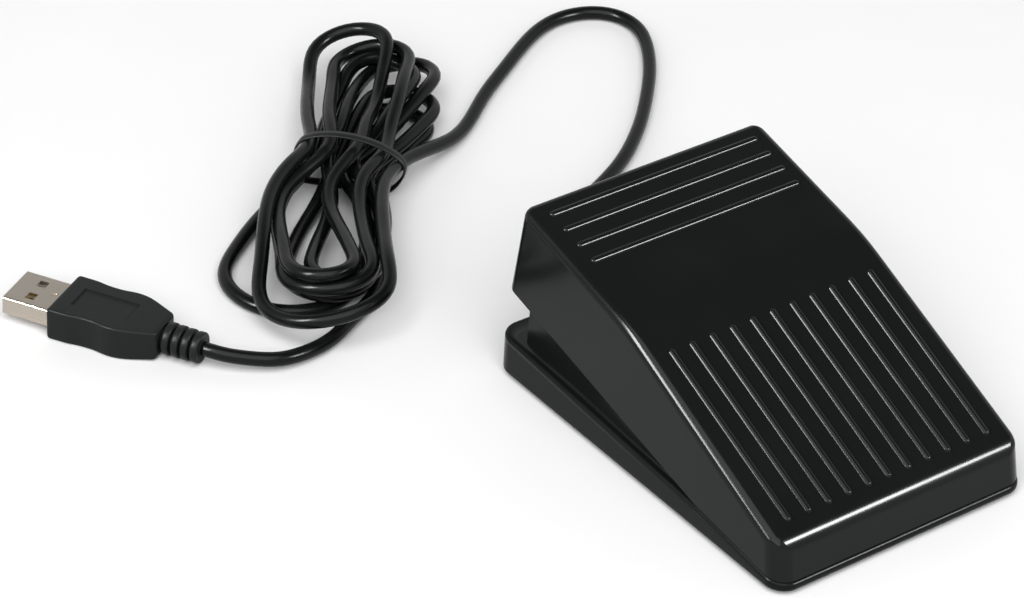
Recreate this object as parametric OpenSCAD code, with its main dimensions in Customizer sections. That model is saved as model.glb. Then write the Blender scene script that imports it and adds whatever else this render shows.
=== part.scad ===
// Foot pedal switch: a sprung wedge pedal on a low tray, with a tied cord and a data plug.
// Millimetres. +Z is up, the heel end is at -Y, the tall end and the cord are at +Y.

/* [Base tray] */
// width of the tray
base_w = 70; // [58:1:90]
// length of the tray
base_l = 100; // [84:1:130]
// plan corner radius of the tray
base_corner = 5; // [3:0.5:9]
// rim height above the table at the tall end
rim_rear_z = 10.8; // [10.4:0.1:14]
// rim height where the pedal begins to close on it
rim_bend_z = 6.5; // [5.5:0.1:8]
// rim height at the heel end
rim_front_z = 2.9; // [2.9:0.1:4]
// distance from the heel end to the bend in the rim
rim_bend_run = 29; // [20:1:36]
// thickness of the tray floor
floor_t = 2; // [1.6:0.1:3]
// thickness of the tray wall
tray_wall = 2.2; // [1.6:0.1:3]

/* [Base deck] */
// thickness of the deck behind the bend in the rim
deck_t = 1.6; // [1.2:0.1:2]
// thickness of the collar that stands inside the pedal
collar_t = 1.5; // [1:0.1:2]
// side gap between the collar and the pressed pedal
collar_gap = 0.35; // [0.3:0.05:0.8]
// collar set in from the tall end of the tray
collar_back = 8; // [6:0.5:12]
// collar start from the heel end
collar_run = 35; // [34:0.5:40]
// collar top above the skirt's lower edge at rest
collar_over = 3; // [1:0.1:5]

/* [Rubber feet] */
// diameter of a foot
foot_d = 9; // [6:0.5:14]
// thickness of a foot
foot_t = 1.6; // [1.2:0.1:2.2]
// how far a foot stands below the tray
foot_proud = 0.8; // [0.4:0.1:1.2]
// foot centre to the side of the tray
foot_in_x = 9.5; // [7:0.5:14]
// foot centre to the end of the tray
foot_in_y = 10; // [7:0.5:16]
// gap round a foot in its recess
foot_gap = 0.1; // [0.05:0.05:0.3]

/* [Pedal cover] */
// height of the tall top edge above the table
pedal_h = 45; // [40:0.5:60]
// height of the heel top edge above the table
heel_h = 12; // [9:0.5:16]
// height of the lower tall corner above the table
skirt_rear_z = 23.3; // [20:0.1:26]
// plan run of the front tread, from heel edge to bend
tread_run = 54.6; // [44:0.2:66]
// slope of the rear tread in degrees
rear_slope = 13; // [6:0.5:18]
// lean of the tall wall over its height
rear_lean = 2.5; // [0:0.1:5]
// lean of the heel wall over its height
heel_lean = 1.8; // [0:0.1:4]
// tall wall set in from the end of the tray
rear_inset = 1.8; // [0.5:0.1:4]
// heel wall set in from the end of the tray
heel_inset = 0.6; // [0.3:0.1:2]
// side wall set in from the side of the tray
side_inset = 0.1; // [0:0.1:2]
// inward lean of the side walls in degrees
side_draft = 1.85; // [0.5:0.05:3]
// wall thickness of the cover
pedal_wall = 1.6; // [1.2:0.1:2]
// rounding of the top edges
edge_r = 1.8; // [1:0.1:3]
// rounding of the upright corners
corner_r = 3; // [1.5:0.1:5]
// radius of the soft bend between the treads
bend_r = 60; // [20:1:90]
// seam gap between skirt and rim
seam_gap = 0.3; // [0.2:0.05:0.8]

/* [Tread ribs] */
// width of a rib
rib_w = 1.8; // [1:0.1:3]
// height of a rib
rib_h = 0.6; // [0.3:0.05:1]
// number of cross ribs
cross_n = 4; // [2:1:6]
// length of a cross rib
cross_l = 56.6; // [40:0.2:62]
// spacing of the cross ribs along the slope
cross_step = 5.15; // [3:0.05:8]
// first cross rib from the tall edge, along the slope
cross_first = 5; // [3:0.1:9]
// number of long ribs
long_n = 11; // [5:1:13]
// spacing of the long ribs
long_step = 5.57; // [4:0.01:7]
// long ribs start this far below the bend
long_top = 9.5; // [5:0.1:15]
// long ribs stop this far from the heel edge
long_low = 5.6; // [4:0.1:10]

/* [Hinge] */
// hinge axis from the heel end
hinge_run = 31; // [29.5:0.5:38]
// hinge axis above the table
hinge_z = 9; // [8:0.1:11]
// diameter of the hinge pin
pin_d = 3; // [2:0.1:4]
// length of the hinge pin
pin_l = 61; // [50:1:64]
// running clearance on the pin, on the radius
pin_run = 0.05; // [0.02:0.01:0.1]
// material round a pin bore
lug_rim = 2.5; // [1.5:0.1:4]
// thickness of a tray lug
tray_lug_t = 4; // [2:0.5:6]
// centre of a tray lug from the middle
tray_lug_x = 27; // [24:0.5:28]
// thickness of a snap lug under the pedal
snap_lug_t = 4; // [2:0.5:6]
// centre of a snap lug from the middle
snap_lug_x = 21; // [14:0.5:22]
// mouth of the snap lug as a share of the pin
snap_mouth = 0.8; // [0.7:0.05:0.9]
// thickness of a retaining ring
clip_t = 0.8; // [0.5:0.1:1.2]
// outer diameter of a retaining ring
clip_d = 6; // [5:0.1:8]
// pedal travel in degrees
press_angle = 8; // [4:0.5:8.5]

/* [Return springs] */
// spring axis from the middle
spring_x = 23; // [21:0.5:26]
// spring axis behind the hinge
spring_run = 31; // [26:0.5:40]
// mean diameter of the coils
spring_d = 8.4; // [7:0.1:10]
// wire diameter
spring_wire = 1; // [0.6:0.1:1.4]
// height of a spring at rest
spring_h = 20.8; // [16:0.1:24]
// number of turns
spring_turns = 6.5; // [4:0.5:9]
// gap between a spring and its seat under the pedal
seat_gap = 0.4; // [0.3:0.05:0.8]
// tilt of a seat at rest in degrees
seat_tilt = 4; // [0:0.5:8]

/* [Circuit board and switch] */
// width of the board
board_w = 32; // [28:0.5:34]
// thickness of the board
board_t = 1.6; // [1:0.1:2]
// height of the board stand-offs
standoff_h = 2.4; // [2:0.1:4]
// board edge to the tall wall's inside
board_back = 22.8; // [20:0.1:28]
// shaft diameter of the small screws
screw_d = 2.2; // [1.6:0.1:2.6]
// head diameter of the small screws
screw_head = 4.2; // [3:0.1:5]
// clearance of a press or thread fit, on the radius
snug = 0.03; // [0.02:0.01:0.06]
// width of the switch case
case_w = 6.4; // [5:0.1:8]
// length of the switch case
case_l = 20; // [18:0.5:22]
// height of the switch case
case_h = 9.4; // [8:0.1:11]
// case start behind the hinge
case_run = 7; // [6:0.5:10]
// lever pivot to the point where the pedal presses
lever_reach = 24; // [22:0.5:28]
// lever rise at rest in degrees
lever_rise = 7; // [6:0.5:8]
// thickness of the lever
lever_t = 0.4; // [0.3:0.05:0.6]
// gap between the pressing parts at rest
press_gap = 0.35; // [0.3:0.05:0.6]
// radius of the pedal's pressing edge
press_r = 1.5; // [1:0.1:2.5]

/* [Cord and plug] */
// cord diameter
cord_d = 3.4; // [3:0.1:4]
// cord centre above the table where it leaves the tray
gland_z = 6.2; // [6:0.1:6.8]
// length of the gland outside the tray
gland_out = 8; // [6:0.5:14]
// half length of the outer loop
hank_half = 60; // [58:0.5:62]
// full half width of the outer loop
hank_wide = 30; // [29:0.5:31]
// half width of the outer loop at the tie
hank_waist = 15; // [15:0.1:16]
// diameter of the tie
tie_d = 1.5; // [1.2:0.1:1.6]
// width of the plug shell
shell_w = 12; // [11.9:0.1:12.1]
// height of the plug shell
shell_h = 4.5; // [4.4:0.1:4.6]
// bare length of the plug shell
shell_l = 12; // [11.75:0.05:14]
// sheet thickness of the plug shell
shell_t = 0.3; // [0.25:0.05:0.4]
// width of the moulded grip
grip_w = 15.6; // [15:0.1:16]
// thickness of the moulded grip
grip_t = 8; // [7:0.1:8]
// length of the moulded grip
grip_l = 26; // [22:0.5:30]
// length of the plug's strain relief
relief_l = 9.5; // [8:0.5:16]

/* [Hidden] */
$fn = 48;

// levels and planes of the tray
half_w = base_w / 2;
half_l = base_l / 2;
tray_z = foot_proud;
floor_z = tray_z + floor_t;
rim_bend_y = rim_bend_run - half_l;
back_y = half_l - tray_wall;

// side view of the pedal cover
heel_y = heel_inset - half_l;
heel_z = rim_front_z + seam_gap;
heel_top_y = heel_y + heel_lean;
tall_y = half_l - rear_inset;
tall_top_y = tall_y - rear_lean;
bend_y = heel_top_y + tread_run;
bend_z = pedal_h - (tall_top_y - bend_y) * tan(rear_slope);
tread_slope = atan((bend_z - heel_h) / tread_run);
tall_dir = unit([tall_top_y - tall_y, pedal_h - skirt_rear_z]);
rear_dir = [-cos(rear_slope), -sin(rear_slope)];
tread_dir = [-cos(tread_slope), -sin(tread_slope)];
heel_dir = unit([heel_y - heel_top_y, heel_z - heel_h]);

// hinge, spring and switch places
hinge_y = hinge_run - half_l;
collar_rear = half_l - collar_back;
collar_front = collar_run - half_l;
collar_inset = pedal_wall + collar_gap + (collar_rear - hinge_y) * sin(press_angle) * tan(side_draft);
spring_y = hinge_y + spring_run;
spring_top = floor_z + spring_h;
board_z = floor_z + standoff_h;
board_top = board_z + board_t;
case_y = hinge_y + case_run;
case_top = board_top + case_h;
pivot_y = case_y + 2;
pivot_z = case_top + 1.6;
press_y = pivot_y + lever_reach;
lever_top = pivot_z + lever_reach * tan(lever_rise) + lever_t / 2 / cos(lever_rise);
press_z = lever_top + press_gap + press_r / cos(lever_rise);
plunger_y = pivot_y + 6;
plunger_top = pivot_z + 6 * tan(lever_rise) - lever_t / 2 / cos(lever_rise) - 0.3;
board_front = case_y - 2;
board_rear = back_y - board_back;
board_screw_x = board_w / 2 - 3;
clamp_y = collar_rear - collar_t - 4.5;
tail_y = clamp_y - 4.5;
clamp_z = gland_z + cord_d / 2 + 0.05;
clamp_x = 6.5;
wire_y = board_rear + 0.5;

// cord route: loose points, chosen by hand on the table
route_out = [
  [0, 58, 6.2], [0, 62, 6.2], [0.5, 69, 5.2], [3, 76.5, 3.2], [8.5, 83, 2], [16, 88, 1.8],
  [24.5, 92, 1.8], [33, 96, 1.8], [41, 100.5, 1.8], [48.5, 106, 1.8], [55.5, 112, 1.8],
  [62, 118.5, 1.8], [68.5, 125.5, 1.8], [74.5, 133, 1.8], [79.5, 141, 1.8],
  [82, 149, 1.8], [79.5, 156.5, 1.8], [73, 160.5, 1.8], [65, 161, 1.8], [56.5, 158, 1.8],
  [48.5, 153, 1.8], [40.5, 147.5, 1.8], [32.5, 142, 1.8], [24.5, 137, 1.8]
];
route_in = [
  [-54, 81.5, 5.2], [-61, 78.5, 4], [-68, 76, 2.9], [-75, 75.5, 2.3], [-80.5, 77.5, 2.8]
];

// hank: loops drawn in at the tie, spiralling in on the lower layer and out on the upper
hank_turns = 6.18;
hank_at = [-23, 130, 0];
hank_turn = 42;
hank_from = 70;
hank_step = [4.5, 5, 4.4];
hank_layer = 4;
hank_lift = 2;
hank_u = [cos(hank_turn), sin(hank_turn), 0];
hank_v = [sin(hank_turn), -cos(hank_turn), 0];
hank_rings = round(24 * hank_turns);
hank_loops = [for (i = [0:hank_rings]) hank_point(hank_turns * i / hank_rings)];
hank_in = unit(hank_loops[0] - hank_loops[1]);
hank_out = unit(hank_loops[hank_rings] - hank_loops[hank_rings - 1]);
hank_start = hank_loops[0] + cord_d * hank_in;
hank_end = hank_loops[hank_rings] + cord_d * hank_out;
hank_path = concat([hank_start], hank_loops, [hank_end]);

// plug lying on the table, pointing along its own +Y
plug_at = [-88.9, 86.35, grip_t / 2];
plug_turn = 29.7;
plug_dir = [-sin(plug_turn), cos(plug_turn), 0];
cord_out_path = concat(route_out, [hank_start + 8 * hank_in, hank_start + 4 * hank_in, hank_start]);
cord_in_path = concat(
  [hank_end, hank_end + 4 * hank_out], route_in, [plug_at - 4 * plug_dir, plug_at]
);

// one spring: rings round its axis
spring_rise = spring_h - spring_wire;
spring_n = round(8 * spring_turns);
spring_path = [for (i = [0:spring_n]) spring_point(i / spring_n)];

function unit(v) = v / norm(v);
function left(d) = [-d[1], d[0]];
function flat_cross(a, b) = a[0] * b[1] - a[1] * b[0];
function meet(p, d, q, e) = p + d * flat_cross(q - p, e) / flat_cross(d, e);
function at_level(p, d, z) = p + d * (z - p[1]) / d[1];
function half_at(z) = half_w - side_inset - (z - rim_front_z) * tan(side_draft);
function rim_at(y) = rim_bend_z + (y - rim_bend_y) / (half_l - rim_bend_y) * (rim_rear_z - rim_bend_z);
function skirt_at(y) = rim_bend_z + seam_gap + (y - rim_bend_y) / (tall_y - rim_bend_y)
  * (skirt_rear_z - rim_bend_z - seam_gap);
function ease(q) = q * q * (3 - 2 * q);
function limit(q) = min(1, max(0, q));

// outline of the pedal's inside, each wall moved in by the given inset
function core_outline(inset, low) = let (
    a = [tall_y, skirt_rear_z] + left(tall_dir) * inset,
    b = [tall_top_y, pedal_h] + left(rear_dir) * inset,
    c = [bend_y, bend_z] + left(tread_dir) * inset,
    d = [heel_top_y, heel_h] + left(heel_dir) * inset
  ) [
    at_level(a, tall_dir, low), meet(a, tall_dir, b, rear_dir), meet(b, rear_dir, c, tread_dir),
    meet(c, tread_dir, d, heel_dir), at_level(d, heel_dir, low)
  ];

// points of one rounded outline corner
function corner_points(a, b, c, r) = let (
    u = unit(a - b),
    w = unit(c - b),
    half = acos(u * w) / 2,
    m = b + unit(u + w) * r / sin(half),
    s = b + u * r / tan(half) - m,
    turn = 180 - 2 * half
  ) [for (i = [0:8]) m + [
    s[0] * cos(turn * i / 8) - s[1] * sin(turn * i / 8),
    s[0] * sin(turn * i / 8) + s[1] * cos(turn * i / 8)
  ]];

function hank_point(t) = let (
    inward = min(t, hank_turns - t),
    angle = hank_from + 360 * t,
    wide = hank_wide - hank_step[1] * inward,
    waist = hank_waist - hank_step[2] * inward,
    u = (hank_half - hank_step[0] * inward) * cos(angle),
    v = sin(angle) * (wide - (wide - waist) * exp(-pow(u / 24, 2))),
    climb = ease(limit((t - hank_turns / 2) * 2 + 0.5)),
    z = cord_d / 2 + 0.05 + hank_layer * climb + hank_lift * exp(-pow(u / 24, 2))
  ) hank_at + hank_u * u + hank_v * v + [0, 0, z];

function spring_point(t) = [
  spring_d / 2 * cos(360 * spring_turns * t), spring_d / 2 * sin(360 * spring_turns * t),
  spring_wire / 2 + 0.05 + (spring_rise - 0.1) * t
];

function heading(p, i) = unit(p[min(i + 1, len(p) - 1)] - p[max(i - 1, 0)]);
function ring(c, t, r, n) = let (
    s = unit(cross(t, [0, 0, 1])),
    u = cross(s, t)
  ) [for (k = [0:n - 1]) c + r * (cos(360 * k / n) * s + sin(360 * k / n) * u)];
function least_gap(p, d, skip) = min([
  for (i = [0:len(p) - 1]) for (j = [i + skip:1:len(p) - 1]) norm(p[i] - p[j])
]) - d;
function path_length(p) = [for (i = [1:len(p) - 1]) norm(p[i] - p[i - 1])] * [for (i = [1:len(p) - 1]) 1];

echo(hank_gap = least_gap(hank_path, cord_d, 8), spring_gap = least_gap(spring_path, spring_wire, 5));
echo(cord_length = path_length(cord_out_path) + path_length(hank_path) + path_length(cord_in_path));

// round tube of flat faces along a path
module tube(p, d, n) {
  m = len(p);
  points = [for (i = [0:m - 1]) each ring(p[i], heading(p, i), d / 2, n)];
  sides = [for (i = [0:m - 2]) for (k = [0:n - 1]) let (j = (k + 1) % n) each [
    [i * n + k, i * n + j, i * n + n + k], [i * n + j, i * n + n + j, i * n + n + k]
  ]];
  first = [for (k = [1:n - 2]) [0, k + 1, k]];
  last = [for (k = [1:n - 2]) [(m - 1) * n, (m - 1) * n + k, (m - 1) * n + k + 1]];
  polyhedron(points = points, faces = concat(sides, first, last));
}

// straight rod between two points
module rod(a, b, d) {
  v = b - a;
  translate(a)
    rotate([0, acos(v[2] / norm(v)), atan2(v[1], v[0])])
      cylinder(h = norm(v), d = d);
}

// flat outline pulled along X, drawn in the side view
module side_view(points, w) {
  rotate([90, 0, 90])
    linear_extrude(height = w, center = true)
      polygon(points);
}

module round_rect(w, l, r) {
  square([w - 2 * r, l], center = true);
  square([w, l - 2 * r], center = true);
  for (x = [-1, 1]) for (y = [-1, 1])
    translate([x * (w / 2 - r), y * (l / 2 - r)])
      circle(r = r);
}

module across(x, y, z, l, d) {
  translate([x, y, z])
    rotate([0, 90, 0])
      cylinder(h = l, d = d, center = true);
}

module small_screw(x, y, z, shaft) {
  translate([x, y, z])
    difference() {
      union() {
        cylinder(h = 1.5, d = screw_head);
        translate([0, 0, -shaft])
          cylinder(h = shaft + 0.1, d = screw_d);
      }
      for (a = [0, 90])
        rotate([0, 0, a])
          translate([-1.3, -0.3, 0.8])
            cube([2.6, 0.6, 1]);
    }
}

// tray

module rim_limit() {
  side_view([
    [-half_l - 1, 0], [half_l + 1, 0], [half_l + 1, rim_at(half_l + 1) - deck_t],
    [rim_bend_y, rim_bend_z - deck_t], [rim_bend_y, rim_bend_z], [-half_l, rim_front_z],
    [-half_l - 1, rim_front_z]
  ], base_w + 2);
}

module outline_block() {
  translate([0, 0, tray_z])
    linear_extrude(height = rim_rear_z)
      round_rect(base_w, base_l, base_corner);
}

module standoff(x, y, h, d) {
  translate([x, y, floor_z - 0.2])
    cylinder(h = h + 0.2, d = d);
}

module tray_lug(x) {
  translate([x - tray_lug_t / 2, hinge_y - pin_d / 2 - lug_rim, floor_z - 0.2])
    cube([tray_lug_t, pin_d + 2 * lug_rim, hinge_z - floor_z + 0.2]);
  across(x, hinge_y, hinge_z, tray_lug_t, pin_d + 2 * lug_rim);
}

module base_tray() {
  color([0.1, 0.1, 0.1])
    difference() {
      union() {
        difference() {
          intersection() {
            outline_block();
            rim_limit();
          }
          translate([0, 0, floor_z])
            linear_extrude(height = rim_rear_z)
              round_rect(base_w - 2 * tray_wall, base_l - 2 * tray_wall, base_corner - tray_wall);
        }
        for (s = [-1, 1]) {
          tray_lug(s * tray_lug_x);
          standoff(s * board_screw_x, board_front + 3, standoff_h, 6);
          standoff(s * board_screw_x, board_rear - 3, standoff_h, 6);
          standoff(s * spring_x, spring_y, 4, spring_d - spring_wire - 1.8);
          standoff(s * clamp_x, clamp_y, clamp_z - floor_z, 5);
        }
        translate([-3, clamp_y - 3, floor_z - 0.2])
          cube([6, 6, gland_z - cord_d / 2 - floor_z + 0.15]);
      }
      for (x = [-1, 1]) for (y = [-1, 1])
        translate([x * (half_w - foot_in_x), y * (half_l - foot_in_y), tray_z - 1])
          cylinder(h = 1 + foot_t - foot_proud, d = foot_d + 2 * foot_gap);
      across(0, hinge_y, hinge_z, base_w, pin_d + 2 * snug);
      for (s = [-1, 1]) {
        for (y = [board_front + 3, board_rear - 3])
          translate([s * board_screw_x, y, board_z - 3])
            cylinder(h = 4, d = screw_d + 2 * snug);
        translate([s * clamp_x, clamp_y, clamp_z - 4.2])
          cylinder(h = 5, d = screw_d + 2 * snug);
      }
      translate([0, back_y - 1, gland_z])
        rotate([-90, 0, 0])
          cylinder(h = tray_wall + 2, d = 4.8 + 2 * snug);
    }
}

// the deck closes the tray round a collar, which fills the gap under the pedal
module base_deck() {
  color([0.12, 0.12, 0.12])
    difference() {
      union() {
        intersection() {
          outline_block();
          side_view([
            [rim_bend_y, rim_bend_z - deck_t], [half_l + 1, rim_at(half_l + 1) - deck_t],
            [half_l + 1, rim_at(half_l + 1)], [rim_bend_y, rim_bend_z]
          ], base_w + 2);
        }
        intersection() {
          side_view([
            [collar_front, rim_at(collar_front) - deck_t], [collar_rear, rim_at(collar_rear) - deck_t],
            [collar_rear, skirt_at(collar_rear) + collar_over],
            [collar_front, skirt_at(collar_front) + collar_over]
          ], base_w);
          side_limit(collar_inset);
        }
      }
      intersection() {
        side_view([
          [-half_l, 0], [collar_rear - collar_t, 0], [collar_rear - collar_t, pedal_h],
          [-half_l, pedal_h]
        ], base_w);
        side_limit(collar_inset + collar_t);
      }
    }
}

module foot(x, y) {
  color([0.2, 0.2, 0.2])
    translate([x * (half_w - foot_in_x), y * (half_l - foot_in_y), 0])
      cylinder(h = foot_t, d = foot_d);
}

module foot_front_left() foot(-1, -1);
module foot_front_right() foot(1, -1);
module foot_rear_left() foot(-1, 1);
module foot_rear_right() foot(1, 1);

// hinge

module hinge_pin() {
  color([0.75, 0.75, 0.77])
    across(0, hinge_y, hinge_z, pin_l, pin_d);
}

module pin_clip(s) {
  color([0.6, 0.6, 0.62])
    difference() {
      across(s * (tray_lug_x + tray_lug_t / 2 + clip_t / 2 + 0.05), hinge_y, hinge_z, clip_t, clip_d);
      across(0, hinge_y, hinge_z, base_w, pin_d + 2 * snug);
    }
}

module pin_clip_left() pin_clip(-1);
module pin_clip_right() pin_clip(1);

// pedal cover

module side_limit(inset) {
  rotate([90, 0, 0])
    linear_extrude(height = base_l + 20, center = true)
      polygon([
        [-half_at(0) + inset, 0], [half_at(0) - inset, 0],
        [half_at(pedal_h + 20) - inset, pedal_h + 20], [inset - half_at(pedal_h + 20), pedal_h + 20]
      ]);
}

module edge_cut(a, b, n, r) {
  e = unit(b - a);
  t = cross(n, e);
  multmatrix([
    [t[0], n[0], e[0], a[0]], [t[1], n[1], e[1], a[1]], [t[2], n[2], e[2], a[2]], [0, 0, 0, 1]
  ])
    translate([0, 0, -4])
      linear_extrude(height = norm(b - a) + 8)
        difference() {
          translate([-r, -r])
            square(r + 2);
          translate([-r, -r])
            circle(r = r);
        }
}

module side_edge_cuts() {
  tall = [-half_at(pedal_h), tall_top_y, pedal_h];
  tall_low = [-half_at(skirt_rear_z), tall_y, skirt_rear_z];
  bend = [-half_at(bend_z), bend_y, bend_z];
  heel = [-half_at(heel_h), heel_top_y, heel_h];
  heel_low = [-half_at(heel_z), heel_y, heel_z];
  edge_cut(bend, tall, [0, -sin(rear_slope), cos(rear_slope)], edge_r);
  edge_cut(heel, bend, [0, -sin(tread_slope), cos(tread_slope)], edge_r);
  edge_cut(tall, tall_low, [0, tall_dir[1], -tall_dir[0]], corner_r);
  edge_cut(heel_low, heel, [0, heel_dir[1], -heel_dir[0]], corner_r);
}

module pedal_outside() {
  low = [tall_y, skirt_rear_z];
  top = [tall_top_y, pedal_h];
  bend = [bend_y, bend_z];
  heel = [heel_top_y, heel_h];
  toe = [heel_y, heel_z];
  difference() {
    intersection() {
      side_view(concat(
        [low], corner_points(low, top, bend, edge_r), corner_points(top, bend, heel, bend_r),
        corner_points(bend, heel, toe, edge_r), [toe, [rim_bend_y, rim_bend_z + seam_gap]]
      ), base_w);
      side_limit(0);
    }
    side_edge_cuts();
    mirror([1, 0, 0])
      side_edge_cuts();
  }
}

module pedal_core(inset) {
  intersection() {
    side_view(core_outline(inset, 0), base_w);
    side_limit(inset);
  }
}

module rib(a, b) {
  r = (rib_w * rib_w / 4 + rib_h * rib_h) / 2 / rib_h;
  sink = [0, 0, rib_h - r];
  rod(a + sink, b + sink, 2 * r);
  translate(a + sink)
    sphere(r = r);
  translate(b + sink)
    sphere(r = r);
}

module tread_ribs() {
  rear_len = (tall_top_y - bend_y) / cos(rear_slope);
  tread_len = tread_run / cos(tread_slope);
  translate([0, bend_y, bend_z])
    rotate([rear_slope, 0, 0])
      for (i = [0:cross_n - 1]) {
        y = rear_len - cross_first - i * cross_step;
        rib([-cross_l / 2, y, 0], [cross_l / 2, y, 0]);
      }
  translate([0, bend_y, bend_z])
    rotate([tread_slope, 0, 0])
      for (i = [0:long_n - 1]) {
        x = (i - (long_n - 1) / 2) * long_step;
        rib([x, -long_top, 0], [x, long_low - tread_len, 0]);
      }
}

module snap_lug(x) {
  r = pin_d / 2 + lug_rim;
  across(x, hinge_y, hinge_z, snap_lug_t, 2 * r);
  translate([x - snap_lug_t / 2, hinge_y - r, hinge_z])
    cube([snap_lug_t, 2 * r, pedal_h]);
}

module snap_opening() {
  across(0, hinge_y, hinge_z, base_w - 16, pin_d + 2 * pin_run);
  translate([8 - half_w, hinge_y - snap_mouth * pin_d / 2, hinge_z - 10])
    cube([base_w - 16, snap_mouth * pin_d, 10]);
}

module spring_seat(x) {
  translate([x, spring_y, spring_top + seat_gap]) {
    rotate([seat_tilt, 0, 0])
      cylinder(h = 2, d = spring_d + spring_wire + 2.6);
    for (a = [0, 90])
      rotate([0, 0, a])
        translate([-4.5, -1, 1])
          cube([9, 2, pedal_h]);
  }
}

module press_blade() {
  across(0, press_y, press_z, 5, 2 * press_r);
  translate([-2.5, press_y - press_r, press_z])
    cube([5, 2 * press_r, pedal_h]);
  translate([-1, press_y - 5, press_z + 5])
    cube([2, 10, pedal_h]);
}

module pedal_cover() {
  color([0.08, 0.08, 0.08]) {
    difference() {
      union() {
        difference() {
          pedal_outside();
          pedal_core(pedal_wall);
        }
        intersection() {
          pedal_core(pedal_wall / 2);
          union() {
            for (s = [-1, 1]) {
              snap_lug(s * snap_lug_x);
              spring_seat(s * spring_x);
            }
            press_blade();
          }
        }
        tread_ribs();
      }
      snap_opening();
    }
  }
}

module spring(x) {
  color([0.7, 0.7, 0.72])
    translate([x, spring_y, floor_z])
      tube(spring_path, spring_wire, 6);
}

module spring_left() spring(-spring_x);
module spring_right() spring(spring_x);

// circuit board and switch

module circuit_board() {
  color([0.1, 0.35, 0.18])
    difference() {
      translate([-board_w / 2, board_front, board_z])
        cube([board_w, board_rear - board_front, board_t]);
      for (s = [-1, 1]) for (y = [board_front + 3, board_rear - 3])
        translate([s * board_screw_x, y, board_z - 1])
          cylinder(h = board_t + 2, d = screw_d + 0.4);
      for (y = [2, case_l / 2, case_l - 2])
        translate([0, case_y + y, board_z - 1])
          cylinder(h = board_t + 2, d = 1.2);
    }
}

module board_screw(x, y) {
  color([0.65, 0.65, 0.67])
    small_screw(x * board_screw_x, y, board_top, board_t + 2.8);
}

module board_screw_front_left() board_screw(-1, board_front + 3);
module board_screw_front_right() board_screw(1, board_front + 3);
module board_screw_rear_left() board_screw(-1, board_rear - 3);
module board_screw_rear_right() board_screw(1, board_rear - 3);

module switch_case() {
  color([0.15, 0.15, 0.17])
    difference() {
      union() {
        translate([-case_w / 2, case_y, board_top])
          cube([case_w, case_l, case_h]);
        for (s = [-1, 1]) {
          translate([s * (case_w / 2 - 0.5) - 0.5, pivot_y - 1.2, case_top - 0.2])
            cube([1, 2.4, pivot_z - case_top + 0.2]);
          across(s * (case_w / 2 - 0.5), pivot_y, pivot_z, 1, 2.4);
        }
      }
      across(0, pivot_y, pivot_z, case_w + 2, 0.9);
      for (y = [5.2, 14.7])
        across(0, case_y + y, board_top + 2.6, case_w + 2, 2.4);
      translate([-1.6, plunger_y - 1, case_top - 5])
        cube([3.2, 2, 6]);
    }
}

module switch_lever() {
  color([0.78, 0.76, 0.7])
    translate([0, pivot_y, pivot_z]) {
      across(0, 0, 0, case_w - 2.2, 1.4);
      across(0, 0, 0, case_w - 0.4, 0.8);
      rotate([lever_rise, 0, 0])
        translate([-(case_w - 2.2) / 2, 0, -lever_t / 2])
          cube([case_w - 2.2, lever_reach + 3, lever_t]);
    }
}

module switch_plunger() {
  color([0.7, 0.12, 0.1])
    translate([-1.5, plunger_y - 0.9, case_top - 3.6])
      cube([3, 1.8, plunger_top - case_top + 3.6]);
}

module switch_terminals() {
  color([0.8, 0.65, 0.3])
    for (y = [2, case_l / 2, case_l - 2])
      translate([0, case_y + y, board_z - 1])
        cylinder(h = board_t + 1, d = 0.9);
}

module controller_chip() {
  color([0.12, 0.12, 0.13])
    translate([-9.5, case_y + case_l - 2, board_top]) {
      translate([-2, -5, 0.15])
        cube([4, 10, 1.5]);
      for (s = [-1, 1]) for (i = [-3:1:3])
        translate([s * 2.5 - 0.6, i * 1.27 - 0.2, 0])
          cube([1.2, 0.4, 0.5]);
    }
}

module crystal() {
  color([0.75, 0.75, 0.77])
    translate([9, board_rear - 21, board_top]) {
      translate([-2.1, -3.3, 0])
        cube([4.2, 6.6, 3.5]);
      for (s = [-1, 1])
        translate([0, s * 3.3, 0])
          cylinder(h = 3.5, d = 4.2);
    }
}

module capacitor() {
  color([0.2, 0.22, 0.3])
    translate([11.5, board_rear - 10.5, board_top]) {
      cylinder(h = 7, d = 5);
      translate([0, 0, 6.9])
        cylinder(h = 0.3, d = 4);
    }
}

module wire_header() {
  color([0.9, 0.88, 0.82])
    difference() {
      translate([-6.2, board_rear - 8, board_top])
        cube([12.4, 7, 5.8]);
      translate([-5.2, board_rear - 6, board_top + 0.9])
        cube([10.4, 6, 4]);
    }
}

module wire_plug() {
  color([0.93, 0.92, 0.88])
    translate([-5.1, board_rear - 6, board_top + 1])
      cube([10.2, 6.2, 3.8]);
}

module inner_wires() {
  color([0.75, 0.2, 0.15])
    for (i = [0:3])
      rod([2.2 * i - 3.3, wire_y, board_top + 2.9], [0.7 * i - 1.05, tail_y - 0.3, gland_z + 0.6], 0.9);
}

module cable_clamp() {
  color([0.25, 0.25, 0.26])
    difference() {
      translate([-clamp_x - 3, clamp_y - 3, clamp_z])
        cube([2 * clamp_x + 6, 6, 2]);
      for (s = [-1, 1])
        translate([s * clamp_x, clamp_y, clamp_z - 1])
          cylinder(h = 4, d = screw_d + 0.3);
    }
}

module clamp_screw(s) {
  color([0.65, 0.65, 0.67])
    small_screw(s * clamp_x, clamp_y, clamp_z + 2, 5.8);
}

module clamp_screw_left() clamp_screw(-1);
module clamp_screw_right() clamp_screw(1);

// cord

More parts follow.
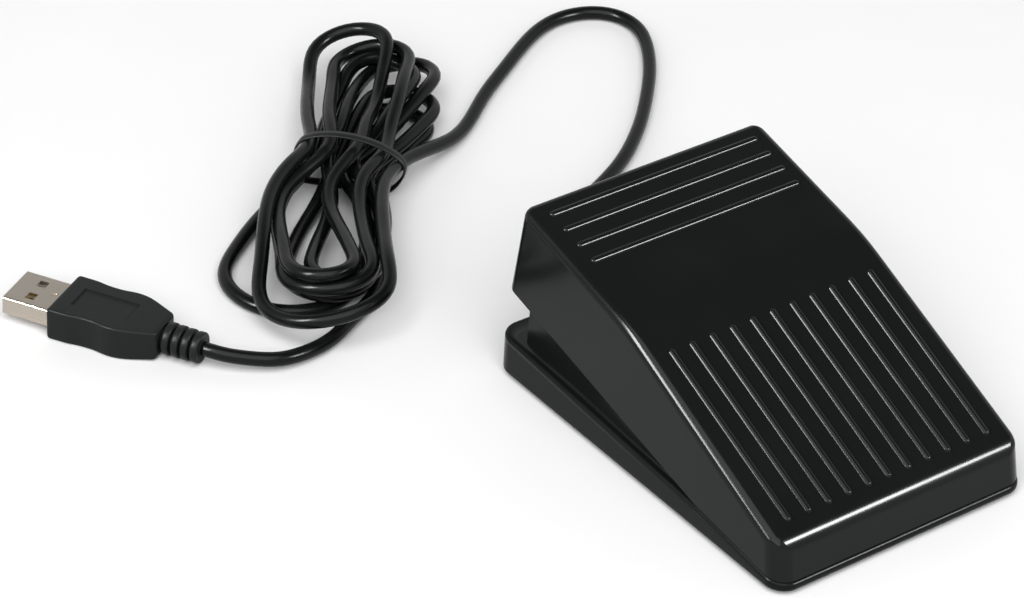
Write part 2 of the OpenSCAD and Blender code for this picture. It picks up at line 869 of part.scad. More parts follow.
module cord_gland() {
  color([0.07, 0.07, 0.07])
    translate([0, half_l, gland_z])
      rotate([-90, 0, 0])
        rotate_extrude()
          polygon([
            [cord_d / 2 + 0.05, -tray_wall - 1.4], [2.7, -tray_wall - 1.4], [2.7, -tray_wall],
            [2.4, -tray_wall], [2.4, 0], [4, 0], [4, 1.5], [3.3, 1.8], [2.5, gland_out],
            [cord_d / 2 + 0.05, gland_out]
          ]);
}

module cord_tail() {
  color([0.06, 0.06, 0.06])
    rod([0, tail_y, gland_z], [0, half_l + gland_out, gland_z], cord_d);
}

module cord_to_hank() {
  color([0.06, 0.06, 0.06])
    tube(cord_out_path, cord_d, 8);
}

module cord_hank() {
  color([0.06, 0.06, 0.06])
    tube(hank_path, cord_d, 6);
}

module cord_tie() {
  right = hank_waist + 1;
  left_end = 1.3 - hank_waist;
  color([0.05, 0.05, 0.05])
    multmatrix([
      [hank_v[0], 0, -hank_u[0], hank_at[0]], [hank_v[1], 0, -hank_u[1], hank_at[1]],
      [0, 1, 0, cord_d / 2 + 0.05 + hank_lift + hank_layer / 2], [0, 0, 0, 1]
    ]) {
      rotate([0, 0, -90])
        translate([0, right, 0])
          rotate_extrude(angle = 180)
            translate([4.9, 0])
              circle(d = tie_d);
      rotate([0, 0, 90])
        translate([0, -left_end, 0])
          rotate_extrude(angle = 180)
            translate([4.9, 0])
              circle(d = tie_d);
      for (s = [-1, 1])
        rod([left_end, s * 4.9, 0], [right, s * 4.9, 0], tie_d);
    }
}

module cord_to_plug() {
  color([0.06, 0.06, 0.06])
    tube(cord_in_path, cord_d, 8);
}

// plug, drawn along its own +Y from the cord end

module place_plug() {
  translate(plug_at)
    rotate([0, 0, plug_turn])
      children();
}

module plug_relief() {
  color([0.07, 0.07, 0.07])
    place_plug()
      rotate([-90, 0, 0])
        union() {
          cylinder(h = relief_l, d1 = 4.6, d2 = 5.6);
          for (i = [0:3])
            translate([0, 0, 0.2 + i * (relief_l - 0.6) / 4])
              cylinder(h = (relief_l - 0.6) / 4 - 0.7, d1 = 6.2 + i * 0.3, d2 = 6.5 + i * 0.3);
        }
}

module grip_outline() {
  w = grip_w / 2;
  polygon([
    [-4.6, 0], [4.6, 0], [w - 0.6, 6.5], [w, 9], [w, 11.5], [w - 0.9, 14], [w - 0.9, 18],
    [w, 20.5], [w, grip_l - 0.8], [w - 0.8, grip_l], [0.8 - w, grip_l], [-w, grip_l - 0.8],
    [-w, 20.5], [0.9 - w, 18], [0.9 - w, 14], [-w, 11.5], [-w, 9], [0.6 - w, 6.5]
  ]);
}

module grip_side() {
  t = grip_t / 2;
  side_view([
    [relief_l, -3.6], [relief_l + 7, -t], [relief_l + grip_l, -t], [relief_l + grip_l, t],
    [relief_l + 7, t], [relief_l, 3.6]
  ], grip_w + 2);
}

module plug_grip() {
  color([0.09, 0.09, 0.09])
    place_plug()
      difference() {
        intersection() {
          translate([0, relief_l, -grip_t])
            linear_extrude(height = 2 * grip_t)
              grip_outline();
          grip_side();
        }
        translate([-3.6, relief_l + 8, grip_t / 2 - 0.3])
          cube([7.2, 14, 1]);
      }
}

module plug_shell() {
  y0 = relief_l + grip_l;
  color([0.78, 0.75, 0.7])
    place_plug()
      difference() {
        translate([-shell_w / 2, y0, -shell_h / 2])
          cube([shell_w, shell_l, shell_h]);
        translate([shell_t - shell_w / 2, y0 + 0.4, shell_t - shell_h / 2])
          cube([shell_w - 2 * shell_t, shell_l, shell_h - 2 * shell_t]);
        for (s = [-1, 1])
          translate([s * 2.6 - 1.2, y0 + shell_l - 6.7, -shell_h])
            cube([2.4, 2.2, 2 * shell_h]);
        translate([0, y0 + 2, shell_h / 2 - 0.1])
          cylinder(h = 1, d = 1.6);
      }
}

module plug_tongue() {
  y0 = relief_l + grip_l + 0.4;
  color([0.9, 0.9, 0.88])
    place_plug()
      translate([shell_t + 0.05 - shell_w / 2, y0, shell_t - shell_h / 2])
        cube([shell_w - 2 * shell_t - 0.1, shell_l - 0.9, 1.9]);
}

module plug_contacts() {
  y0 = relief_l + grip_l + 0.4;
  color([0.85, 0.68, 0.3])
    place_plug()
      for (i = [0:3])
        translate([[-3.5, -1, 1, 3.5][i] - 0.5, y0, shell_t + 1.9 - shell_h / 2])
          cube([1, i % 3 == 0 ? shell_l - 2 : shell_l - 3, 0.2]);
}

base_tray();
base_deck();
foot_front_left();
foot_front_right();
foot_rear_left();
foot_rear_right();
hinge_pin();
pin_clip_left();
pin_clip_right();
pedal_cover();
spring_left();
spring_right();
circuit_board();
board_screw_front_left();
board_screw_front_right();
board_screw_rear_left();
board_screw_rear_right();
switch_case();
switch_lever();
switch_plunger();
switch_terminals();
controller_chip();
crystal();
capacitor();
wire_header();
wire_plug();
inner_wires();
cable_clamp();
clamp_screw_left();
clamp_screw_right();
cord_gland();
cord_tail();
cord_to_hank();
cord_hank();
cord_tie();
cord_to_plug();
plug_relief();
plug_grip();
plug_shell();
plug_tongue();
plug_contacts();
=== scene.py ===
import math

import bmesh
import bpy
import numpy as np
from mathutils import Matrix, Vector


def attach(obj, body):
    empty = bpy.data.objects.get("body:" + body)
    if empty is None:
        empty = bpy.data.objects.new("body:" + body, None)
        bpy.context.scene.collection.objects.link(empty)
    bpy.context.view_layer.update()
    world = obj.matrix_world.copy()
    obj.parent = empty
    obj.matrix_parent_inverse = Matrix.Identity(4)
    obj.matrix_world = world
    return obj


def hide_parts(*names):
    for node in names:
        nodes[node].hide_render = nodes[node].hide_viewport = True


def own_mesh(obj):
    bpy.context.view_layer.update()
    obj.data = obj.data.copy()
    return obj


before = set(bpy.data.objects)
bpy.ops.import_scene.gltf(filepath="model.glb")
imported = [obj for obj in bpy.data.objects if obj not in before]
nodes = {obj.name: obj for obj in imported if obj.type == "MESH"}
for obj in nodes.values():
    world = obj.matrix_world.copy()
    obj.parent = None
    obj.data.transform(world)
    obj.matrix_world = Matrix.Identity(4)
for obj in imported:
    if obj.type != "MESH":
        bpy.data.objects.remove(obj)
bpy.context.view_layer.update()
scene = bpy.context.scene
scene.view_settings.view_transform = "Standard"
MM = 0.001


# Table, light and camera
# The table is white card under a wide soft box. Two small boxes at the left and in front are flagged off
# the card and draw the bright lines on the edges and ribs. A dark roof keeps the tread black.

def linear(hex_colour):
    """An sRGB hex colour as linear red, green, blue and alpha."""
    parts = [int(hex_colour[i:i + 2], 16) / 255 for i in (0, 2, 4)]
    return [*(c / 12.92 if c <= 0.04045 else ((c + 0.055) / 1.055) ** 2.4 for c in parts), 1]


def add_node(tree, kind, links=None, **settings):
    """One node with its settings. Each link is an input's name or number, with a value or a node's output."""
    node = tree.nodes.new(kind)
    for name, value in settings.items():
        setattr(node, name, value)
    for name, value in (links or {}).items():
        if isinstance(value, bpy.types.NodeSocket):
            tree.links.new(value, node.inputs[name])
        else:
            node.inputs[name].default_value = value
    return node


def shown(name, data):
    """A new object at the origin."""
    piece = bpy.data.objects.new(name, data)
    scene.collection.objects.link(piece)
    return piece


# White card: matt paper with a faint mottle, so that only the light shapes it.
card_mottle = 30
card = bpy.data.materials.new("white_card")
card.use_nodes = True
tree, shader = card.node_tree, card.node_tree.nodes["Principled BSDF"]
place = add_node(tree, "ShaderNodeTexCoord")
mottle = add_node(tree, "ShaderNodeTexNoise", {
    "Vector": place.outputs["Object"], "Scale": 1000 / card_mottle})
tint = add_node(tree, "ShaderNodeMix", {
    0: mottle.outputs[0], 6: linear("fafafa"), 7: linear("f7f7f7")}, data_type="RGBA")
tree.links.new(tint.outputs[2], shader.inputs["Base Color"])
shader.inputs["Roughness"].default_value = 0.85
shader.inputs["Specular IOR Level"].default_value = 0.2

table_half = 4
sheet = bpy.data.meshes.new("table")
sheet.from_pydata([(x * table_half, y * table_half, 0) for x, y in ((-1, -1), (1, -1), (1, 1), (-1, 1))], [],
                  [(0, 1, 2, 3)])
sheet.materials.append(card)
table = shown("table", sheet)

# The walls are white up to a height of 0.6 on a globe of radius 1, and the roof is dark from 0.76 up.
white_to, dark_from, dark, wall_glow = 0.6, 0.76, 0.06, 0.8
studio = bpy.data.worlds.new("studio")
studio.use_nodes = True
scene.world = studio
tree = studio.node_tree
place = add_node(tree, "ShaderNodeTexCoord")
height = add_node(tree, "ShaderNodeSeparateXYZ", {"Vector": place.outputs["Generated"]})
roof = add_node(tree, "ShaderNodeValToRGB", {"Fac": height.outputs["Z"]})
roof.color_ramp.elements[0].position, roof.color_ramp.elements[0].color = white_to, (1, 1, 1, 1)
roof.color_ramp.elements[1].position, roof.color_ramp.elements[1].color = dark_from, (dark, dark, dark, 1)
tree.links.new(roof.outputs["Color"], tree.nodes["Background"].inputs["Color"])
tree.nodes["Background"].inputs["Strength"].default_value = wall_glow

# The two small boxes don't light the card.
unlit = bpy.data.collections.new("unlit_by_the_small_boxes")
unlit.objects.link(table)
unlit.collection_objects[0].light_linking.link_state = "EXCLUDE"

# Each soft box: its direction, distance, width, height and power. Lengths here are in metres.
aimed_at = Vector((0, 0.05, 0))
for name, towards, away, wide, high, power in (
    ("soft_box_left", (-0.81, 0.12, 0.56), 0.95, 0.16, 0.4, 13),
    ("soft_box_front", (0.46, -0.7, 0.53), 0.95, 0.3, 0.15, 12),
    ("soft_box_top", (-0.4, -0.42, 0.82), 1.3, 1.4, 1.4, 20),
):
    box = bpy.data.lights.new(name, "AREA")
    box.shape, box.size, box.size_y, box.energy = "RECTANGLE", wide, high, power
    lamp = shown(name, box)
    lamp.location = aimed_at + away * Vector(towards).normalized()
    lamp.rotation_euler = Vector(towards).to_track_quat("Z", "Y").to_euler()
    lamp.visible_camera = False
    if name != "soft_box_top":
        lamp.light_linking.receiver_collection = unlit

# The camera was fitted to the photograph's edges: 38.6 degrees to the left of the heel end and 34.6 degrees
# up, with a slight roll. Its focal length was found in the photograph's pixels.
turn, rise, roll = math.radians(-38.592), math.radians(34.636), math.radians(3.425)
look_at, look_from = Vector((-15.643, 69.252, 0)), 964.707
focal_pixels, photo_pixels, sensor_wide = 4206.43, 1024, 36
back = Vector((math.sin(turn) * math.cos(rise), -math.cos(turn) * math.cos(rise), math.sin(rise)))
side = Vector((math.cos(turn), math.sin(turn), 0))
up = back.cross(side)
side, up = side * math.cos(roll) + up * math.sin(roll), up * math.cos(roll) - side * math.sin(roll)
lens = bpy.data.cameras.new("camera")
lens.sensor_fit, lens.sensor_width = "HORIZONTAL", sensor_wide
lens.lens = focal_pixels * sensor_wide / photo_pixels
lens.clip_start, lens.clip_end = 0.01, 20
camera = shown("camera", lens)
camera.matrix_world = Matrix.Translation(look_at * MM + back * look_from * MM) @ Matrix(
    (side, up, back)).transposed().to_4x4()
scene.camera = camera


# Cord
# A thin round lead of copper strands in a glossy black vinyl jacket. It leaves the gland in the rear wall
# in a wide bend, is folded by hand into a hank of loops that lie over each other, and goes on to the plug.

cord_thick, lying = 3.4, 1.8
way_out = [
    [0, 31.5, 6.2], [0, 45, 6.2], [0, 58, 6.2], [0, 62, 6.2], [0.5, 69, 5.2], [3, 76.5, 3.2],
    [8.5, 83, 2], [16, 88, 1.8], [24.5, 92, 1.8], [33, 96, 1.8], [41, 100.5, 1.8], [48.5, 106, 1.8],
    [55.5, 112, 1.8], [62, 118.5, 1.8], [68.5, 125.5, 1.8], [74.5, 133, 1.8], [79.5, 141, 1.8],
    [82, 149, 1.8], [79.5, 156.5, 1.8], [73, 160.5, 1.8], [65, 161, 1.8], [56.5, 158, 1.8],
    [48, 153.2, 1.8], [39, 147.6, 1.8], [29.5, 141.6, 1.8], [20.5, 134.7, 1.8], [10.3, 128.4, 1.8],
    [-1.7, 123.9, 2.2],
]
way_in = [[-52.5, 80.5, 1.8], [-60.5, 76.5, 1.8], [-68, 74.8, 2], [-75, 75, 2.3], [-80.5, 77.5, 2.8]]
plug_at, plug_turn = np.array([-88.9, 86.35, 4.0]), math.radians(29.7)
plug_along = np.array([-math.sin(plug_turn), math.cos(plug_turn), 0])

# The hank's folds, lower and upper ends in turn: how far each reaches from the tie, how far its tip lies to
# the side, half its width, and how far it bows to the side on the way. Below them, where each strand passes
# the tie, and the points past the tie where the last strand leaves for the plug.
folds = [
    (-67, 12.5, 14.5, -4), (53, -8.4, 9.3, 0), (-57, 10, 7.8, -7), (50, -2, 9, 0),
    (-57, 11.7, 10, -5), (47, 2.8, 8.5, 0), (-51, 14, 8, 3), (51, 8, 8.4, 0),
    (-53, 10.5, 10, 0), (39, 10.5, 8.2, 0), (-57, -1, 15, 0), (34, 10.1, 8.2, 0),
]
passes = [14.9, -6.4, 4.8, -1.6, 11.1, -6, 3.8, -2.1, 2.2, -1.1, 8.3, -7.5, 10.9]
leaving = [(-14, 15.4), (-28, 17.4), (-42, 20)]
hank_at, hank_turn = np.array([-23, 130.0]), math.radians(42)
hank_long = np.array([math.cos(hank_turn), math.sin(hank_turn)])
hank_wide = np.array([math.sin(hank_turn), -math.cos(hank_turn)])

# Each flank of a fold is a few points: the share of the fold's length, and of its half width. Between the
# flanks lies the tip. The bow's factor makes its widest place as wide as the bow.
laid = []
for n, (reach, tip, half, bow) in enumerate(folds):
    hand = 1 if reach < 0 else -1
    foot = (passes[n] + passes[n + 1]) / 2
    run = np.array([reach, tip - foot])
    length = np.linalg.norm(run)
    square = np.array([run[1], -run[0]]) / length * hand
    start = (passes[n] - passes[n + 1]) / 2 * hand
    neck = 1 - 1.35 * half / length
    flank = [(0.28 * neck, 0.3), (0.6 * neck, 0.74), (neck, 1.0), (1 - 0.54 * half / length, 0.8)]
    laid.append((0, passes[n]))
    for way, points in ((hand, flank), (0, [(1, 0)]), (-hand, flank[::-1])):
        for share, out in points:
            bowed = bow * 27 / 4 * share * (1 - share) ** 2
            laid.append(np.array([0, foot + bowed]) + run * share
                        + square * way * (start + (half - start) * out))
laid = np.array([*laid, (0, passes[-1]), *leaving], float)
pinched_up, pinched_over = 0.9, 14
hank = np.column_stack([
    hank_at + laid[:, :1] * hank_long + laid[:, 1:] * hank_wide,
    lying + pinched_up * np.exp(-(laid[:, 0] / pinched_over) ** 2)])


def smooth_line(points, spacing):
    """Evenly spaced points along a smooth line through the given ones, and how far along each one is."""
    points = np.asarray(points, float)
    knots = np.concatenate([[0], np.cumsum(np.linalg.norm(np.diff(points, axis=0), axis=1) ** 0.5)])
    gap, count = np.diff(knots), len(points)
    stiff, load = np.eye(count), np.zeros_like(points)
    for i in range(1, count - 1):
        stiff[i, i - 1:i + 2] = gap[i - 1], 2 * (gap[i - 1] + gap[i]), gap[i]
        load[i] = 6 * ((points[i + 1] - points[i]) / gap[i] - (points[i] - points[i - 1]) / gap[i - 1])
    curl = np.linalg.solve(stiff, load)
    at = np.linspace(0, knots[-1], 40 * count)
    i = np.clip(np.searchsorted(knots, at) - 1, 0, count - 2)
    a = ((knots[i + 1] - at) / gap[i])[:, None]
    b = 1 - a
    fine = a * points[i] + b * points[i + 1] + (
        (a ** 3 - a) * curl[i] + (b ** 3 - b) * curl[i + 1]) * gap[i][:, None] ** 2 / 6
    along = np.concatenate([[0], np.cumsum(np.linalg.norm(np.diff(fine, axis=0), axis=1))])
    even = np.linspace(0, along[-1], int(along[-1] / spacing))
    return np.column_stack([np.interp(even, along, fine[:, k]) for k in range(3)]), even


point_gap, straight_in, eased_over, ends_held = 1.8, 4, 3, 26
line, along = smooth_line(
    way_out + hank.tolist() + way_in + [plug_at - straight_in * plug_along, plug_at], point_gap)
step = along[1]


def eased(values, over):
    """The values with their sharp changes spread over a few mm, and both ends kept."""
    soft = np.exp(-0.5 * (np.arange(-over, over + 1) * step / eased_over) ** 2)
    return np.convolve(np.pad(values, over, mode="edge"), soft / soft.sum(), "valid")


smoothed = np.column_stack([eased(line[:, k], over=8) for k in range(3)])
line[ends_held:-ends_held] = smoothed[ends_held:-ends_held]

# The hank was wound from the plug's end, so each strand lies on the ones nearer the plug: where it crosses
# one it is lifted by a cord's thickness, and the lift spreads out along it in a long low hump. Points that
# are near each other along the cord belong to one bend and don't cross.
clear, one_bend = 1.05 * cord_thick, 6 * cord_thick
hump_radius, hump_reach, layings = 10, 40, 14
apart = np.linalg.norm(line[:, None, :2] - line[None, :, :2], axis=2)
over = (along[None, :] - along[:, None] > one_bend) & (apart < clear)
lift = np.sqrt(np.maximum(0, clear ** 2 - apart ** 2))
rest = line[:, 2].copy()
heights = rest.copy()
reachable = int(hump_reach / step)
for _ in range(layings):
    for i in range(len(line))[::-1]:
        under = np.nonzero(over[i])[0]
        if len(under):
            heights[i] = max(heights[i], (heights[under] + lift[i, under]).max())
    hump = rest.copy()
    for shift in range(-reachable, reachable + 1):
        moved = np.roll(heights, shift) - (shift * step) ** 2 / (2 * hump_radius)
        if shift > 0:
            moved[:shift] = 0
        elif shift < 0:
            moved[shift:] = 0
        hump = np.maximum(hump, moved)
    heights = np.maximum(rest, eased(hump, over=6))
line[:, 2] = heights

# Extruded vinyl: a smooth jacket with a wet-looking gloss and a faint ripple from the twisted strands
# inside it.
strand_twist = 6
cord_vinyl = bpy.data.materials.new("extruded_vinyl")
cord_vinyl.use_nodes = True
tree, shader = cord_vinyl.node_tree, cord_vinyl.node_tree.nodes["Principled BSDF"]
place = add_node(tree, "ShaderNodeTexCoord")
ripple = add_node(tree, "ShaderNodeTexNoise", {
    "Vector": place.outputs["Object"], "Scale": 1000 / strand_twist, "Detail": 3})
tint = add_node(tree, "ShaderNodeMix", {
    0: ripple.outputs[0], 6: linear("060707"), 7: linear("0b0c0c")}, data_type="RGBA")
gloss = add_node(tree, "ShaderNodeMapRange", {0: ripple.outputs[0], 1: 0.3, 2: 0.7, 3: 0.2, 4: 0.3})
bump = add_node(tree, "ShaderNodeBump", {"Height": ripple.outputs[0], "Strength": 0.6, "Distance": 0.06 * MM})
tree.links.new(tint.outputs[2], shader.inputs["Base Color"])
tree.links.new(gloss.outputs[0], shader.inputs["Roughness"])
tree.links.new(bump.outputs[0], shader.inputs["Normal"])
shader.inputs["IOR"].default_value = 1.53
shader.inputs["Specular IOR Level"].default_value = 0.13

lead = bpy.data.curves.new("cord", "CURVE")
lead.dimensions, lead.use_fill_caps = "3D", True
lead.bevel_depth, lead.bevel_resolution = cord_thick / 2 * MM, 5
spline = lead.splines.new("POLY")
spline.points.add(len(line) - 1)
spline.points.foreach_set("co", np.column_stack([line * MM, np.ones(len(line))]).ravel())
lead.materials.append(cord_vinyl)
cord = shown("cord", lead)
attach(cord, "base")
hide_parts("cord_tail", "cord_to_hank", "cord_hank", "cord_to_plug")


# Tie
# A flat strip of black plastic with a wire in it, bent round the hank's waist. It lies tight over the
# outermost strands, as the fingers left it.

def skin(name, rings, material, closed=False, sharp=35):
    """A mesh piece over equal rings of points in mm. Its ends are capped unless the rings meet."""
    shape = bmesh.new()
    rows = [[shape.verts.new(Vector(p) * MM) for p in ring] for ring in rings]
    for i in range(len(rows) if closed else len(rows) - 1):
        a, b = rows[i], rows[(i + 1) % len(rows)]
        for k in range(len(a)):
            n = (k + 1) % len(a)
            shape.faces.new((a[k], a[n], b[n], b[k]))
    if not closed:
        shape.faces.new(rows[0][::-1])
        shape.faces.new(rows[-1])
    bmesh.ops.recalc_face_normals(shape, faces=shape.faces)
    mesh = bpy.data.meshes.new(name)
    shape.to_mesh(mesh)
    shape.free()
    mesh.shade_smooth()
    mesh.set_sharp_from_angle(angle=math.radians(sharp))
    mesh.materials.append(material)
    return shown(name, mesh)


def mottled(name, pale, dark, grain, rough, bump, **sockets):
    """A material whose colour and roughness drift over 18 mm, with a bump of given grain and depth."""
    material = bpy.data.materials.new(name)
    material.use_nodes = True
    tree, shader = material.node_tree, material.node_tree.nodes["Principled BSDF"]
    place = add_node(tree, "ShaderNodeTexCoord")
    fine = add_node(tree, "ShaderNodeTexNoise", {
        "Vector": place.outputs["Object"], "Scale": 1000 / grain, "Detail": 3})
    broad = add_node(tree, "ShaderNodeTexNoise", {
        "Vector": place.outputs["Object"], "Scale": 1000 / 18, "Detail": 2})
    tint = add_node(tree, "ShaderNodeMix", {
        0: broad.outputs[0], 6: linear(dark), 7: linear(pale)}, data_type="RGBA")
    gloss = add_node(tree, "ShaderNodeMapRange", {
        0: broad.outputs[0], 1: 0.3, 2: 0.7, 3: rough * 0.88, 4: rough * 1.12})
    relief = add_node(tree, "ShaderNodeBump", {
        "Height": fine.outputs[0], "Strength": 1, "Distance": bump * MM})
    tree.links.new(tint.outputs[2], shader.inputs["Base Color"])
    tree.links.new(gloss.outputs[0], shader.inputs["Roughness"])
    tree.links.new(relief.outputs[0], shader.inputs["Normal"])
    for label, value in sockets.items():
        shader.inputs[label.replace("_", " ")].default_value = value
    return material


# Coated tie strip: flexible vinyl, duller than the cord.
tie_strip = mottled("coated_tie_strip", "101111", "0b0c0c", 0.8, 0.4, 0.01, IOR=1.53, Specular_IOR_Level=0.2)

# Where the cord's line crosses the tie's plane within the hank, as (to the side, height).
waist_half = 24
beyond = (line[:, :2] - hank_at) @ hank_long
beside = (line[:, :2] - hank_at) @ hank_wide
strands = []
for i in range(len(line) - 1):
    if beyond[i] * beyond[i + 1] <= 0 and abs(beside[i]) < waist_half:
        share = beyond[i] / (beyond[i] - beyond[i + 1])
        strands.append((beside[i] + share * (beside[i + 1] - beside[i]),
                        heights[i] + share * (heights[i + 1] - heights[i])))

# The strip's middle line round those strands: how far it is held out in each direction, smoothed so that it
# bends gently, let out a little again, and kept above the table.
turn_by, strand_to_strip, let_out, lowest, strip_pieces = 2, 2.05, 0.6, 0.42, 96
smooth_reach, smooth_by = 20, 9
angles = np.radians(np.arange(0, 360, turn_by))
ways = np.column_stack([np.cos(angles), np.sin(angles)])
hold = np.max(ways @ np.array(strands).T, axis=1) + strand_to_strip
spread = np.exp(-0.5 * (np.arange(-smooth_reach, smooth_reach + 1) / smooth_by) ** 2)
round_hold = np.convolve(np.pad(hold, smooth_reach, mode="wrap"), spread / spread.sum(), "valid")
round_hold += let_out * (hold - round_hold).max()
slide = np.gradient(np.pad(round_hold, 1, mode="wrap"), math.radians(turn_by))[1:-1]
hull = ways * round_hold[:, None] + np.column_stack([-ways[:, 1], ways[:, 0]]) * slide[:, None]
hull[:, 1] = np.maximum(hull[:, 1], lowest)
hull = np.vstack([hull, hull[:1]])
along_hull = np.concatenate([[0], np.cumsum(np.linalg.norm(np.diff(hull, axis=0), axis=1))])
even = np.linspace(0, along_hull[-1], strip_pieces + 1)[:-1]
band = np.column_stack([np.interp(even, along_hull, hull[:, k]) for k in range(2)])
outward = np.roll(band, -1, axis=0) - np.roll(band, 1, axis=0)
outward = np.column_stack([outward[:, 1], -outward[:, 0]]) / np.linalg.norm(outward, axis=1)[:, None]

# The strip's section: flat, with the wire showing as a low ridge along its outside.
strip = [(-1.25, -0.12), (-1.1, -0.25), (1.1, -0.25), (1.25, -0.12), (1.25, 0.12), (1.1, 0.25), (0.35, 0.25),
         (0, 0.38), (-0.35, 0.25), (-1.1, 0.25), (-1.25, 0.12)]
rings = []
for (b, h), (nb, nh) in zip(band, outward):
    rings.append([(*(hank_at + w * hank_long + (b + t * nb) * hank_wide), h + t * nh) for w, t in strip])
tie = skin("cord_tie_strip", rings, tie_strip, closed=True, sharp=50)
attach(tie, "base")
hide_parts("cord_tie")


# Base tray
# The lower half of the base: one moulded tray of black ABS that holds the hinge, the springs and the board.
# Its outer edges are rounded in the mould, and its underside has four round recesses for the feet.

base_half_wide, base_half_long, base_corner, base_round, deck_front = 35, 50, 5, 0.9, -21


def merged(node):
    """A copy of a CAD node's mesh with its triangles joined into whole faces."""
    shape = bmesh.new()
    shape.from_mesh(nodes[node].data)
    bmesh.ops.remove_doubles(shape, verts=shape.verts, dist=2e-6)
    bmesh.ops.dissolve_limit(shape, angle_limit=math.radians(0.3), verts=shape.verts, edges=shape.edges)
    return shape


def settled(shape, name, material, node, body, sharp=40):
    """The finished copy as a piece in place of its node, with even shading on its flat faces."""
    mesh = bpy.data.meshes.new(name)
    bmesh.ops.triangulate(shape, faces=[f for f in shape.faces if len(f.verts) > 4])
    shape.to_mesh(mesh)
    shape.free()
    mesh.shade_smooth()
    mesh.set_sharp_from_angle(angle=math.radians(sharp))
    mesh.materials.clear()
    mesh.materials.append(material)
    piece = shown(name, mesh)
    even = piece.modifiers.new("even shading", "WEIGHTED_NORMAL")
    even.keep_sharp, even.weight = True, 100
    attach(piece, body)
    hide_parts(node)
    return piece


def edge_of_base(edge):
    """True for a sharp edge that runs round the base's outline."""
    for corner in edge.verts:
        x = abs(corner.co.x) / MM - (base_half_wide - base_corner)
        y = abs(corner.co.y) / MM - (base_half_long - base_corner)
        if abs(math.hypot(max(x, 0), max(y, 0)) + min(max(x, y), 0) - base_corner) > 0.04:
            return False
    run = edge.verts[1].co - edge.verts[0].co
    return edge.calc_face_angle(0) > math.radians(30) and abs(run.z) < 0.5 * run.length


def rounded_off(shape, edges):
    """Rounds the given edges, as in the mould."""
    bmesh.ops.bevel(shape, geom=edges, offset=base_round * MM, segments=4, profile=0.5, affect="EDGES",
                    clamp_overlap=True)


# Moulded ABS: black, polished in the mould, with a satin gloss and the faint waviness of a cooled moulding.
base_abs = mottled(
    "moulded_abs_base", "0b0d0c", "080a09", 0.7, 0.26, 0.003, IOR=1.54, Specular_IOR_Level=0.075)
shape = merged("base_tray")
rounded_off(shape, [e for e in shape.edges if edge_of_base(e) and (
    max(v.co.z for v in e.verts) < 1.0 * MM or max(v.co.y for v in e.verts) < (deck_front + 0.1) * MM)])
settled(shape, "tray", base_abs, "base_tray", "base")


# Base deck
# A plate of the same ABS that closes the tall end of the tray. Its collar stands up inside the pedal and
# keeps dirt out of the gap when the pedal is up.

seam_z, seam_rise = 6.4, 4.3
shape = merged("base_deck")
seam_slope = seam_rise / (base_half_long - deck_front)
rounded_off(shape, [e for e in shape.edges if edge_of_base(e) and min(v.co.z for v in e.verts) > (
    seam_z + seam_slope * (min(v.co.y for v in e.verts) / MM - deck_front)) * MM])
settled(shape, "deck", base_abs, "base_deck", "base")


# Feet
# Four round pads of moulded black rubber, glued into the recesses under the tray. They keep the base from
# sliding on the floor.

# Moulded rubber: matt and dusty grey-black.
rubber = mottled("moulded_rubber", "2b2b2a", "222222", 0.5, 0.78, 0.02, IOR=1.52)


def turned(profile, at, along, sides=40):
    """Rings of a profile of (radius, height) turned about an axis through a point."""
    axis = Vector(along).normalized()
    a = axis.orthogonal().normalized()
    b = axis.cross(a)
    return [[Vector(at) + axis * h + (a * math.cos(t) + b * math.sin(t)) * r
             for t in np.linspace(0, 2 * math.pi, sides, endpoint=False)] for r, h in profile]


foot_x, foot_y = 25.5, 40
pad_profile = [(3.2, 0.12), (3.5, 0.02), (4.0, 0), (4.3, 0.1), (4.46, 0.3), (4.5, 0.6), (4.5, 1.6)]
for row, y in (("front", -foot_y), ("rear", foot_y)):
    for hand, x in (("left", -foot_x), ("right", foot_x)):
        pad = skin(f"pad_{row}_{hand}", turned(pad_profile, (x, y, 0), (0, 0, 1)), rubber)
        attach(pad, "base")
        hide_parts(f"foot_{row}_{hand}")


# Hinge
# A steel pin through the tray, with a retaining ring on each end. The pedal snaps onto it. Pin and rings
# are zinc plated, and keep their CAD shapes.

# Zinc-plated steel: bright, with the fine marks of drawing.
plated_steel = mottled("zinc_plated_steel", "c4c6c8", "a9abae", 0.25, 0.3, 0.004, Metallic=1.0)
for name in ("hinge_pin", "pin_clip_left", "pin_clip_right"):
    nodes[name].material_slots[0].material = plated_steel


# Pedal cover
# The hollow wedge that the foot presses: one moulding of black ABS with thin walls and rounded edges. Four
# raised ribs run across its tall end and eleven along its slope. Lugs inside it snap onto the hinge pin.

# Polished ABS: the same plastic in a brighter finish, because the tread's half of the mould is polished.
pedal_abs = mottled(
    "moulded_abs_pedal", "0c0e0d", "090b0a", 0.9, 0.16, 0.0006, IOR=1.54, Specular_IOR_Level=0.14)

